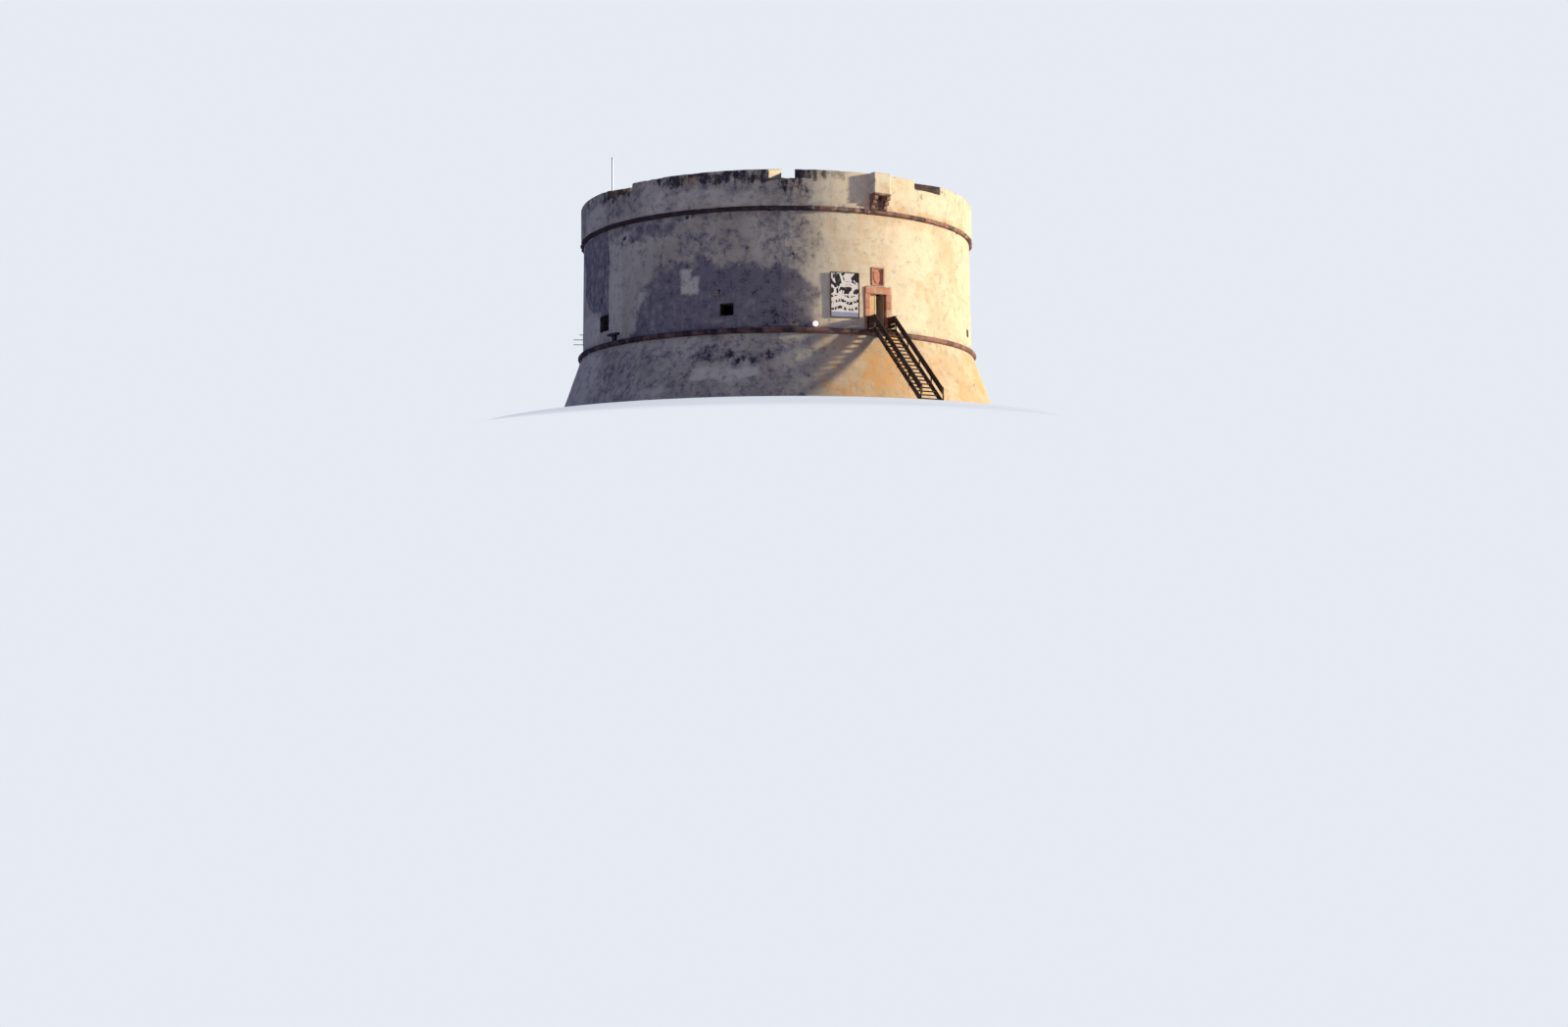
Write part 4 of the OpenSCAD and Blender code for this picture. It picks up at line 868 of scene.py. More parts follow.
# The parapet's masonry as a block lattice in radius, azimuth and height, with worn and
# chipped arrises and a top that slumps by noise.
def parapetSkin():
    radii = np.array([9.90, 9.945, 10.12, 10.42, 10.72, 11.02, 11.24, 11.325, 11.37])
    heights = np.concatenate([[parapet["foot"], 11.05], np.linspace(11.14, parapet["floor"], 8),
                              np.linspace(parapet["floor"], 12.44, 9)[1:], [12.475, parapet["sill"], 12.525],
                              np.linspace(12.58, 12.90, 5), [12.945, parapet["top"]]])
    count = int(round(360 / parapet["step"]))
    azAt, gaps = parapetColumns(radii, count)
    solid = np.ones((len(radii) - 1, count, len(heights) - 1), bool)
    for first, last, bed in gaps:
        solid[:, first:last, heights[:-1] > bed - 0.001] = False
    places, faces = latticeSkin(solid, closed=True)
    az, away, level = azAt[places[:, 0], places[:, 1]], radii[places[:, 0]], heights[places[:, 2]]
    flat = polar(az, away, sloped(level, away))
    points, moved = wornEdges(flat, faces)
    edge = smoothStep(moved / 0.012)
    chip = edge * smoothStep((roughNoise(flat, 0.55, 3, 8.0) - 0.12) / 0.3)
    lost = smoothStep((roughNoise(flat, 0.8, 5, 2.0) + 0.10 * edge - 0.50) / 0.08)
    relief = (parapet["swell"] * smoothNoise(flat, 1.9) + parapet["blister"] * smoothNoise(flat, 0.6, 4)
              + parapet["pock"] * smoothNoise(flat, 0.19, 9) - parapet["chip"] * chip - parapet["lossDepth"] * lost)
    bottom = level < parapet["foot"] + 0.01
    points = points + np.where(bottom, 0.0, relief)[:, None] * outwards(points, faces)
    slump = smoothStep((level - parapet["sill"]) / 0.4) * smoothStep(roughNoise(flat, 1.1, 4, 14.0) * 1.6)
    points[:, 2] -= parapet["slump"] * slump
    points[bottom, 2] = parapet["foot"]
    wear = wallWearAndLight(parapetWearAndLight, az, level, flat, parapet["outer"], 0.12, 2.5)
    wear["grime"] += 0.25 * (away < 11.3)
    # painted shade: the cheeks of the embrasures are set dark through the lichen mask, all but the one that the key
    # light reaches, which loses its lichen and grime and stays light
    cheek = ((away > parapet["inner"] + 0.02) & (away < parapet["outer"] - 0.02)
             & (level > parapet["sill"] + 0.01) & (level < parapet["top"] - 0.01))
    sunlitCheek = cheek & (np.abs(az % 360 - parapet["sunlitCheek"] % 360) < 4)
    wear["lichen"] = np.where(cheek, 0.85, wear["lichen"]) * ~sunlitCheek
    wear["grime"] = np.where(sunlitCheek, 0.0, wear["grime"])
    # no wash lies in the shade between the corbels
    wear["wash"] *= 1 - smoothStep((1.5 - np.abs(az)) / 0.25) * smoothStep((11.9 - level) / 0.1)
    wear["lost"] = lost
    makePiece("parapetSkin", (points, faces, wear), "wallRender", "parapet_plaster", replaces=["parapet"])


parapetSkin()

machicolation = {"front": 11.87, "wall": 0.21, "half": 0.515, "foot": 11.8305, "top": 12.97, "back": 11.02,
                 "cell": 0.05, "bed": 0.03, "relief": 0.007, "chip": 0.03}
boxWearAndLight = {
    # painted light: the wash over the box brightens it along with the wall near the door
    "grime": [(box(-3.2, -1.2, 11.0, 13.0), 0.3, 0.3)], "wash": [(box(-5, 5, 11.7, 13.3), 0.2, 0.9)],
    "rust": [(box(-1.5, 4, 11.7, 12.3), 0.3, 0.7)], "lichen": [(box(-4, 4, 12.6, 13.2), 0.4, 0.62)],
}


# Grid lines at about the cell's size through each of the stops.
def linesThrough(cell, *stops):
    parts = [np.linspace(a, b, max(2, int(round((b - a) / cell)) + 1))[:-1] for a, b in zip(stops, stops[1:])]
    return np.concatenate(parts + [[stops[-1]]])


# The box over the doorway: a block lattice open at the back, with worn arrises. The beds of
# its cheeks follow the parapet's slope, a little under its top.
def machicolationSkin():
    front, half, foot, top = (machicolation[key] for key in ("front", "half", "foot", "top"))
    face, inner = front - machicolation["wall"], half - machicolation["wall"]
    xs = linesThrough(machicolation["cell"], machicolation["back"], face, front)
    ys = linesThrough(machicolation["cell"], -half, -inner, inner, half)
    zs = linesThrough(machicolation["cell"], foot, top)
    x, y, _ = np.meshgrid((xs[1:] + xs[:-1]) / 2, (ys[1:] + ys[:-1]) / 2, zs[1:], indexing="ij")
    places, faces = latticeSkin((x > face) | (np.abs(y) > inner))
    depth, level = xs[places[:, 0]], zs[places[:, 2]]
    bedded = machicolation["bed"] * (depth < parapet["outer"] - 0.02) * (level > top - 0.01)
    flat = facing(0, np.stack([depth, ys[places[:, 1]], sloped(level, depth) - bedded], -1))
    points, moved = wornEdges(flat, faces, 1)
    chip = smoothStep(moved / 0.008) * smoothStep((roughNoise(flat, 0.35, 3, 8.0) - 0.15) / 0.3)
    relief = machicolation["relief"] * roughNoise(flat, 0.5, 3, 4.0) - machicolation["chip"] * chip
    points = points + relief[:, None] * outwards(points, faces)
    points[:, 2] = np.clip(points[:, 2], foot, sloped(top, depth))
    az = np.degrees(np.arctan2(flat[:, 0], -flat[:, 1]))
    wear = {kind: wearAndLightMask(spots, az, flat[:, 2], flat, 11.6) for kind, spots in boxWearAndLight.items()}
    wear["lost"] = smoothStep((roughNoise(flat, 0.5, 4, 2.0) - 0.35) / 0.1)
    makePiece("machicolationSkin", (points, faces, wear), "wallRender", "parapet_plaster",
              replaces=["machicolation_front", "machicolation_cheeks"])


machicolationSkin()
print("tower: parapet made")


cordons = {
    "lower": {"node": "lower_cordon", "inner": 10.75, "flat": 11.42, "foot": 4.1605, "top": 4.44, "stone": 0.62,
              "joint": 0.016, "shift": 0.008, "wear": 0.012, "loss": 0.03, "lossShare": 0.30, "shadeSideDark": 0.45,
              "ledge": 0.15, "seed": 21},
    "upper": {"node": "upper_cordon", "inner": 10.70, "flat": 11.33, "foot": 10.8005, "top": 11.0, "stone": 0.58,
              "joint": 0.018, "shift": 0.014, "wear": 0.022, "loss": 0.09, "lossShare": -0.05, "shadeSideDark": 0.95,
              "ledge": 0.15, "seed": 22},
}


# A round-nosed string course turned about the axis: its nose is a half circle, radius =
# flat + nose * cos(t), height = middle + nose * sin(t). Joints between its stones are
# grooves; each stone stands a little in or out, and its nose is eaten back by noise.
# Stones from azimuth -14 round to the back, the side away from the key light, are darker.
def cordonSkin(name, look):
    random = np.random.default_rng(look["seed"])
    middle, nose = (look["foot"] + look["top"]) / 2, (look["top"] - look["foot"]) / 2
    turn = np.radians(np.linspace(-90, 90, 11))
    bed = look["flat"] - look["ledge"]
    profile = np.concatenate([[(look["inner"], look["foot"]), (bed, look["foot"])],
                              np.stack([look["flat"] + nose * np.cos(turn), middle + nose * np.sin(turn)], 1),
                              [(bed, look["top"]), (look["inner"], look["top"])]])
    out = np.concatenate([[0, 0], np.cos(turn) * 0.8 + 0.2, [0, 0]])
    count = int(round(2 * math.pi * look["flat"] / look["stone"]))
    width = 2 * math.pi * look["flat"] / count
    groove = look["joint"] / 2 / width
    across = np.array([0.0, groove, groove * 2.2, 0.22, 0.41, 0.59, 0.78, 1 - groove * 2.2, 1 - groove])
    centres = np.cumsum(0.75 + 0.5 * random.random(count))
    centres = np.concatenate([[0], centres / centres[-1]])
    stone = np.repeat(np.arange(count), len(across))
    t = centres[stone] + np.tile(across, count) * (centres[stone + 1] - centres[stone])
    az = t * 360.0
    joint = np.tile(across == 0, count)
    shift = np.where(joint, -look["joint"], look["shift"] * (random.random(count)[stone] * 2 - 1))
    column, row = (grid.ravel() for grid in np.meshgrid(np.arange(len(az)), np.arange(len(profile))))
    flat = polar(az[column], profile[row, 0], profile[row, 1])
    tone = random.random(count)[stone[column]]
    loss = smoothStep((roughNoise(flat, 0.7, 3, 5.0) + 0.3 * (tone - 0.5) - look["lossShare"]) / 0.25)
    eaten = look["wear"] * (roughNoise(flat, 0.22, 3, 9.0) - 0.3) - look["loss"] * loss
    points = polar(az[column], profile[row, 0] + out[row] * (shift[column] + eaten), profile[row, 1])
    faces = gridFaces(len(profile), len(az), closed=True)
    ring = np.arange(len(az))
    last = (len(profile) - 1) * len(az)
    back = np.stack([ring + last, np.roll(ring, -1) + last, np.roll(ring, -1), ring], -1)
    # darker from azimuth -14 round to the back, the side away from the key light
    shade = look["shadeSideDark"] * smoothStep((-14 - (az[column] + 180) % 360 + 180) / 12)
    crust = 0.2 + 0.5 * loss + 0.3 * random.random(count)[stone[column]]
    masks = {"tone": 0.75 * tone + shade, "crust": crust * (1 - 0.7 * shade)}
    makePiece(name, (points, np.concatenate([faces, back]), masks), "cordonStone", "red_stone",
              replaces=[look["node"]])


cordonSkin("lowerCordonStones", cordons["lower"])
cordonSkin("upperCordonStones", cordons["upper"])

doorFrame = {"front": 11.290, "back": 11.0905, "half": 0.50, "jamb": 0.32, "foot": 4.44, "head": 6.45, "top": 6.82,
             "courses": [0.40, 0.37, 0.44, 0.38, 0.42], "joint": 0.007, "edge": 0.014, "step": 0.006,
             "tones": {-1: [0.45, 0.75, 0.3, 0.6, 0.5], 1: [0.05, 0.9, 0.1, 0.8, 0.45]},
             "sillFront": 11.31, "sillFoot": 4.4405, "sillTop": 4.49, "hollow": 0.012, "hollowReach": 0.26,
             "mortarBehind": 0.022, "mortarIn": 0.012, "lintelEdge": 0.02, "sillEdge": 0.012}


# Jambs of squared blocks with mortar set back behind their joints, a lintel, and a sill
# worn hollow under the feet by hollow * exp(-(y / reach) ** 2).
def frameStones():
    shapes, mortar = [], []
    random = np.random.default_rng(31)
    back, front, half, joint = (doorFrame[key] for key in ("back", "front", "half", "joint"))
    for side in (-1, 1):
        z = doorFrame["foot"]
        ys = sorted((side * half, side * (half + doorFrame["jamb"])))
        for k, height in enumerate(doorFrame["courses"]):
            height *= (doorFrame["head"] - doorFrame["foot"]) / sum(doorFrame["courses"])
            proud = doorFrame["step"] * random.random()
            low, high = (back, ys[0], z + joint / 2), (front - proud, ys[1], z + height - joint / 2)
            points, faces, looks = stoneBlock(low, high, doorFrame["edge"], 300 + 10 * side + k, rough=0.006)
            looks["tone"][:] = doorFrame["tones"][side][k]
            looks["crust"][:] = 0.9 if looks["tone"][0] < 0.2 else 0.15
            shapes.append((points, faces, looks))
            z += height
        low = (back + 0.002, ys[0] + doorFrame["mortarIn"], doorFrame["foot"])
        high = (front - doorFrame["mortarBehind"], ys[1] - doorFrame["mortarIn"], doorFrame["head"])
        mortar.append(stoneBlock(low, high, 0.004, 340 + side))
    wide = half + doorFrame["jamb"]
    lintel = stoneBlock((back, -wide, doorFrame["head"] + 0.003), (front, wide, doorFrame["top"]),
                        doorFrame["lintelEdge"], 350, steps=14, rough=0.008, cell=0.14)
    sill = stoneBlock((back, -half + 0.002, doorFrame["sillFoot"]),
                      (doorFrame["sillFront"], half - 0.002, doorFrame["sillTop"]),
                      doorFrame["sillEdge"], 351, steps=14, rough=0.002)
    hollow = doorFrame["hollow"] * np.exp(-(sill[0][:, 1] / doorFrame["hollowReach"]) ** 2)
    sill[0][:, 2] -= hollow * (sill[0][:, 2] > doorFrame["sillTop"] - 0.02)
    for group, name, node in ((shapes, "jambBlocks", "door_jambs"), ([lintel], "lintelStone", "door_lintel"),
                              ([sill], "sillStone", "door_sill")):
        makeFacing(name, group, "redBlocks", "red_stone", replaces=[node])
    makeFacing("jambMortar", mortar, "beddingMortar", "red_stone")


frameStones()

plaque = {"back": 11.131, "front": 11.290, "field": 11.170, "middle": 7.40, "width": 0.78, "height": 1.00,
          "border": 0.065, "shieldWidth": 0.43, "shieldHeight": 0.60, "shield": 0.034, "rounding": 0.014,
          "cell": 0.0125, "relief": 0.006}


# Plaque: a height over its field for the border, a moulded step inside it and a blank,
# slightly domed shield, all softened by noise. The shield's foot narrows to a point along
# two arcs, half its width = sqrt(width ** 2 - z ** 2) - width / 2.
def plaqueStone():
    halfWide, halfTall, wide = plaque["width"] / 2, plaque["height"] / 2, plaque["shieldWidth"]
    ys = np.linspace(-halfWide, halfWide, int(plaque["width"] / plaque["cell"]) + 1)
    zs = np.linspace(-halfTall, halfTall, int(plaque["height"] / plaque["cell"]) + 1)
    places, faces = latticeSkin(np.ones((1, len(ys) - 1, len(zs) - 1), bool))
    y, z, front = ys[places[:, 1]], zs[places[:, 2]], places[:, 0] == 1
    rim = np.minimum(halfWide - np.abs(y), halfTall - np.abs(z))
    foot = np.sqrt(np.maximum(wide ** 2 - np.minimum(z, 0) ** 2, 0)) - wide / 2
    shield = np.minimum(np.minimum(wide / 2, foot) - np.abs(y), plaque["shieldHeight"] / 2 - z)
    high = plaque["front"] - plaque["field"]
    x = plaque["field"] + high * (1 - smoothStep((rim - plaque["border"] + 0.012) / 0.024))
    x += 0.35 * high * smoothStep((plaque["border"] + 0.035 - rim) / 0.012) * (rim > plaque["border"])
    x = np.minimum(x, plaque["front"])
    x = x + plaque["shield"] * smoothStep(shield / 0.016) * (0.8 + 0.2 * np.cos(y / wide * math.pi))
    x = x - plaque["rounding"] * (1 - smoothStep(rim / plaque["rounding"]))
    flat = np.stack([x, y, z], -1)
    x = x - np.abs(plaque["relief"] * roughNoise(flat, 0.12, 3, 6.0))
    points = np.stack([np.where(front, x, plaque["back"]), y, z + plaque["middle"]], -1)
    looks = {"tone": np.clip(0.45 + 0.4 * roughNoise(flat, 0.3, 2), 0, 1), "crust": np.full(len(points), 0.35)}
    makeFacing("plaqueStone", [(points, faces, looks)], "redBlocks", "red_stone", replaces=["stone_plaque"])


plaqueStone()

corbels = {"back": 11.02, "bed": 0.35, "reach": 0.50, "foot": 11.0005, "courses": 3, "height": 0.2433, "head": 11.83,
           "inside": 0.275, "width": 0.24, "behind": 0.29, "wear": 0.014,
           "lintelLow": (11.6605, -0.535, 11.7305), "lintelHigh": (11.89, 0.535, 11.8295)}


# Corbels: each course steps out and ends in a half-round nose, x = centre + sqrt(n*n - dz*dz),
# with a joint between courses and a square block behind the lintel stone at the top.
def corbelStones():
    shapes = []
    foot, head, height = corbels["foot"], corbels["head"], corbels["height"]
    nose, top = height / 2, foot + corbels["courses"] * height
    rows = [foot + height * (k + 0.5 - 0.5 * math.cos(math.pi * t / 8))
            for k in range(corbels["courses"]) for t in range(8)]
    zs = np.unique(np.round(rows + [top, top + 0.004, head - 0.006, head], 5))
    ys = np.linspace(0, 1, 7)
    us = np.array([0.0, 0.35, 0.6, 0.8, 0.93, 1.0])
    for side in (-1, 1):
        places, faces = latticeSkin(np.ones((len(us) - 1, len(ys) - 1, len(zs) - 1), bool))
        u, z = us[places[:, 0]], zs[places[:, 2]]
        course = np.minimum(((z - foot - 1e-6) / height).astype(int), corbels["courses"] - 1)
        centre = corbels["bed"] + (course + 1) * corbels["reach"] / corbels["courses"] - nose
        rise = z - foot - (course + 0.5) * height
        front = centre + np.sqrt(np.maximum(nose ** 2 - rise ** 2, 0))
        front = np.where(z > top + 0.001, corbels["bed"] + corbels["behind"], front)
        y = corbels["inside"] + ys[places[:, 1]] * corbels["width"]
        y = y if side > 0 else -y[::1]
        points = np.stack([corbels["back"] + u * front, y, z], -1)
        if side < 0:
            faces = faces[:, ::-1]
        wear = corbels["wear"] * (roughNoise(points, 0.16, 3, 3.0 + side) - 0.35)
        keepFlat = (z < foot + 0.001) | (z > head - 0.001)
        points = points + np.where(keepFlat, 0, wear)[:, None] * outwards(points, faces)
        tone = np.random.default_rng(360 + side).random(4)[course]
        shapes.append((points, faces, {"tone": tone, "crust": 0.2 + 0.3 * tone}))
    makeFacing("corbelStones", shapes, "boxStone", "red_stone", replaces=["machicolation_corbels"])
    lintel = stoneBlock(corbels["lintelLow"], corbels["lintelHigh"], 0.014, 365, steps=12, rough=0.008)
    makeFacing("boxLintel", [lintel], "boxStone", "red_stone", replaces=["machicolation_lintel"])


corbelStones()

floors = {
    "terrace": {"radius": 9.87, "level": 11.751, "hub": 0.35, "ring": 0.72, "slab": 0.85, "joint": 0.014,
                "rise": 0.010, "seed": 41},
    "room": {"radius": 7.90, "level": 4.491, "hub": 0.35, "ring": 0.80, "slab": 0.95, "joint": 0.012,
             "rise": 0.008, "seed": 42},
}


# Paving in rings of slabs: each slab is a cushion whose edge dips into the joint, its
# height the lesser of the lifts along and across it.
def slabRings(name, look):
    random = np.random.default_rng(look["seed"])
    t = np.array([0.0, 0.02, 0.12, 0.5, 0.88, 0.98, 1.0])
    lift = np.array([-0.6, 0.35, 1.0, 1.0, 1.0, 0.35, -0.6])
    template = gridFaces(len(t), len(t))
    shapes = []
    edges = np.linspace(look["hub"], look["radius"], int(round(look["radius"] / look["ring"])) + 1)
    for inner, outer in zip(edges, edges[1:]):
        count = max(6, int(round(math.pi * (inner + outer) / look["slab"])))
        cuts = np.cumsum(0.7 + 0.6 * random.random(count))
        cuts = cuts / cuts[-1] * 360 + random.random() * 360
        widths = np.diff(np.concatenate([[cuts[-1] - 360], cuts]))
        for stop, width in zip(cuts, widths):
            gapAngle = math.degrees(look["joint"] / 2 / outer)
            az = stop - width + gapAngle + (width - 2 * gapAngle) * t
            radius = inner + look["joint"] / 2 + (outer - inner - look["joint"]) * t
            azGrid, radiusGrid = np.meshgrid(az, radius)
            height = np.minimum(*np.meshgrid(lift, lift)) * look["rise"] + 0.004 * (random.random() - 0.5)
            points = polar(azGrid, radiusGrid, look["level"] + np.maximum(height, -0.02)).reshape(-1, 3)
            points[:, 2] += 0.003 * smoothNoise(points, 0.35)
            tone = np.full(len(points), random.random())
            crust = np.full(len(points), 0.2 + 0.6 * random.random())
            shapes.append((points, template[:, ::-1], {"tone": tone, "crust": crust}))
    makePiece(name, joined(shapes), "pavingSlabs", "paving_stone")


slabRings("terraceSlabs", floors["terrace"])
slabRings("roomSlabs", floors["room"])
print("tower: cordons, door stones, corbels and paving made")


stair = {"rises": 20, "going": 0.232, "landing": 12.0, "floor": 4.49, "half": 0.65, "stringer": 0.06, "over": 0.045,
         "under": 0.30, "start": 11.567, "bearerTop": 4.44, "bearerFoot": 4.24, "treadHalf": 0.608, "treadThick": 0.045,
         "lap": 0.013, "plankGap": 0.006, "post": 0.06, "railOver": 0.72, "railHeight": 0.195, "railPlanks": 2,
         "railGap": 0.010, "kick": 0.09, "kickGap": 0.035, "wallPost": 11.302, "railEnd": 16.524,
         "flightPosts": 4, "bolt": 0.011, "worn": 0.007, "wornReach": 0.28, "deckStart": 11.3115, "deckPlanks": 5,
         "deckGap": 0.006}


# Section of a plank on edge at a distance from the axis, between two heights.
def onEdge(x, side, inner, outer, low, high, xHigh=None):
    ys = (side * inner, side * outer)
    xHigh = x if xHigh is None else xHigh
    return [(x, ys[0], low), (x, ys[1], low), (xHigh, ys[1], high), (xHigh, ys[0], high)]


# Half-round bolt head on a face that looks to one side: four rings about a point.
def boltHead(x, y, z, side, radius):
    turn = np.radians(np.arange(0, 360, 36))
    rings = [(1.0, 0.0), (0.95, 0.3), (0.6, 0.55), (0.12, 0.65)]
    points = np.concatenate([np.stack([x + r * radius * np.cos(turn), np.full(10, y + side * h * radius),
                                       z + r * radius * np.sin(turn)], 1) for r, h in rings])
    faces = gridFaces(4, 10, closed=True)
    cap = np.array([[0, 1, 8, 9], [1, 2, 7, 8], [2, 3, 6, 7], [3, 4, 5, 6]]) + 30
    faces = np.concatenate([faces, cap])
    if side > 0:
        faces = faces[:, ::-1]
    return points, faces, {"tone": np.zeros(len(points))}


# How each kind of bar is made: the bevel of its arrises, the steps along it and how far
# noise pushes its faces, in metres.
planks = {
    "bearer": {"bevel": 0.005, "steps": 4, "rough": 0.003},
    "stringer": {"bevel": 0.006, "steps": 60, "rough": 0.004},
    "knee": {"bevel": 0.004, "steps": 2, "rough": 0.002},
    "levelRail": {"bevel": 0.007, "steps": 6, "rough": 0.003},
    "flightRail": {"bevel": 0.008, "steps": 50, "rough": 0.004},
    "post": {"bevel": 0.007, "steps": 10, "rough": 0.003},
    "tread": {"bevel": 0.006, "steps": 10, "rough": 0.002},
    "deck": {"bevel": 0.006, "steps": 8, "rough": 0.002},
    "leafBoard": {"bevel": 0.005, "steps": 10, "rough": 0.0006},
    "leafStile": {"bevel": 0.003, "steps": 10, "rough": 0.0005},
    "leafRail": {"bevel": 0.003, "steps": 6, "rough": 0.0005},
    "slat": {"bevel": 0.002, "steps": 12, "rough": 0.001},
}


# Height of the stair's pitch line at a distance from the axis: floor - (x - landing) * slope.
def pitchLine(x):
    return stair["floor"] - (x - stair["landing"]) * stair["floor"] / stair["rises"] / stair["going"]


# Stringers: level bearers to the knee, a short piece round it, and planks down the flight
# that are cut off level at the ground.
def stairStringers(side, inner, outer):
    slope = stair["floor"] / stair["rises"] / stair["going"]
    landing, floor, low, high = (stair[key] for key in ("landing", "floor", "bearerFoot", "bearerTop"))
    knee = landing + (floor - stair["under"] - low) / slope
    level = [onEdge(x, side, inner, outer, low, high) for x in (stair["start"], knee)]
    bend = onEdge(knee, side, inner, outer, low, high - 0.001, landing - 0.03)
    start = onEdge(landing + 0.02, side, inner, outer, pitchLine(landing + 0.02) - stair["under"],
                   floor + stair["over"], landing + 0.004)
    foot = onEdge(landing + (floor - stair["under"]) / slope, side, inner, outer, 0.001, 0.001,
                  landing + (floor + stair["over"]) / slope)
    return [bar(level, seed=400 + side, **planks["bearer"]),
            bar([start, foot], seed=402 + side, **planks["stringer"]),
            bar([bend, start], seed=404 + side, **planks["knee"])]


# Guard planks, level along the landing and then down the flight, and a lowest plank that
# runs along the landing alone.
def stairRails(side, inner, outer):
    floor, landing, wall = stair["floor"], stair["landing"], stair["wallPost"]
    end = pitchLine(stair["railEnd"])
    rails = []
    for k in range(stair["railPlanks"]):
        high = stair["railOver"] - k * (stair["railHeight"] + stair["railGap"])
        low = high - stair["railHeight"]
        level = [onEdge(x, side, inner, outer, floor + low, floor + high) for x in (wall, landing - 0.012)]
        flight = [onEdge(landing - 0.008, side, inner, outer, floor + low, floor + high),
                  onEdge(stair["railEnd"], side, inner, outer, end + low, end + high)]
        rails.append(bar(level, seed=410 + side + 20 * k, **planks["levelRail"]))
        rails.append(bar(flight, seed=412 + side + 20 * k, **planks["flightRail"]))
    kick = [onEdge(x, side, inner, outer, floor + stair["kick"], floor + low - stair["kickGap"])
            for x in (wall, landing)]
    return rails + [bar(kick, seed=414 + side, **planks["levelRail"])]


# Posts outside of the stringers, with their bolts: one at the wall, one at the landing's
# edge and the rest evenly down the flight.
def stairPosts(side, outer):
    posts, bolts = [], []
    landing, post, top = stair["landing"], stair["post"], stair["floor"] + stair["railOver"]
    span = (stair["railEnd"] - post - landing) / stair["flightPosts"]
    spots = [(stair["wallPost"], stair["bearerTop"] + 0.001, top), (landing - post, stair["bearerFoot"], top)]
    for k in range(1, stair["flightPosts"] + 1):
        x = landing + k * span
        spots.append((x, max(0.001, pitchLine(x) - stair["under"]), pitchLine(x + post) + stair["railOver"]))
    ys = sorted((side * outer, side * (outer + post)))
    for k, (x, low, high) in enumerate(spots):
        sections = boardSections((x, ys[0], low), (x + post, ys[1], high), 2)
        posts.append(bar(sections, seed=420 + 10 * side + k, **planks["post"]))
        for z in [high - 0.06, high - 0.14] + ([low + 0.10] if k == 0 else [low + 0.09, low + 0.22]):
            bolts.append(boltHead(x + post / 2, side * (outer + post - 0.002), z, side, stair["bolt"]))
    return posts, bolts


# Treads of two planks, worn hollow in the middle by worn * exp(-(y / reach) ** 2).
def stairTreads():
    treads = []
    rise, half, gap = stair["floor"] / stair["rises"], stair["treadHalf"], stair["plankGap"] / 2
    for k in range(1, stair["rises"]):
        x = stair["landing"] + (stair["rises"] - 1 - k) * stair["going"]
        low, high = x - stair["lap"], x + stair["going"]
        middle = (low + high) / 2
        for part, (a, b) in enumerate(((low, middle - gap), (middle + gap, high))):
            sections = boardSections((a, -half, k * rise - stair["treadThick"]), (b, half, k * rise), 1)
            points, faces, looks = bar(sections, seed=500 + 2 * k + part, **planks["tread"])
            worn = stair["worn"] * np.exp(-(points[:, 1] / stair["wornReach"]) ** 2)
            points[:, 2] -= worn * (points[:, 2] > k * rise - 0.01)
            treads.append((points, faces, looks))
    return treads


def landingDeck():
    edges = np.linspace(stair["deckStart"], stair["landing"], stair["deckPlanks"] + 1)
    deck = []
    for k, (a, b) in enumerate(zip(edges, edges[1:])):
        sections = boardSections((a + stair["deckGap"] / 2, -stair["half"], stair["bearerTop"] + 0.0005),
                                 (b - stair["deckGap"] / 2, stair["half"], stair["floor"]), 1)
        deck.append(bar(sections, seed=560 + k, **planks["deck"]))
    return deck


def stairTimber():
    inner, outer = stair["half"] - stair["stringer"], stair["half"]
    stringers, rails, posts, bolts = [], [], [], []
    for side in (-1, 1):
        stringers += stairStringers(side, inner, outer)
        rails += stairRails(side, inner, outer)
        sidePosts, sideBolts = stairPosts(side, outer)
        posts += sidePosts
        bolts += sideBolts
    for shapes, name, look, slot, node in (
            (stringers, "stringerPlanks", "darkTimber", "dark_timber", ["stair_stringers"]),
            (rails, "railPlanks", "darkTimber", "dark_timber", ["handrails"]),
            (posts, "railPosts", "darkTimber", "dark_timber", ["stair_posts"]),
            (stairTreads(), "treadPlanks", "treadTimber", "tread_timber", ["stair_treads"]),
            (landingDeck(), "deckPlanks", "treadTimber", "tread_timber", ["landing_deck"]),
            (bolts, "stairBolts", "oldIron", "wrought_iron", [])):
        makeFacing(name, shapes, look, slot, replaces=node)


stairTimber()

leaf = {"back": 11.032, "front": 11.082, "raise": 0.012, "near": 0.006, "far": 0.563, "foot": 4.50, "top": 6.50,
        "stile": 0.09, "boards": 4, "rails": 3, "nails": 6, "pinX": 11.012, "pinY": 0.548, "open": 82.0,
        "nail": 0.007}


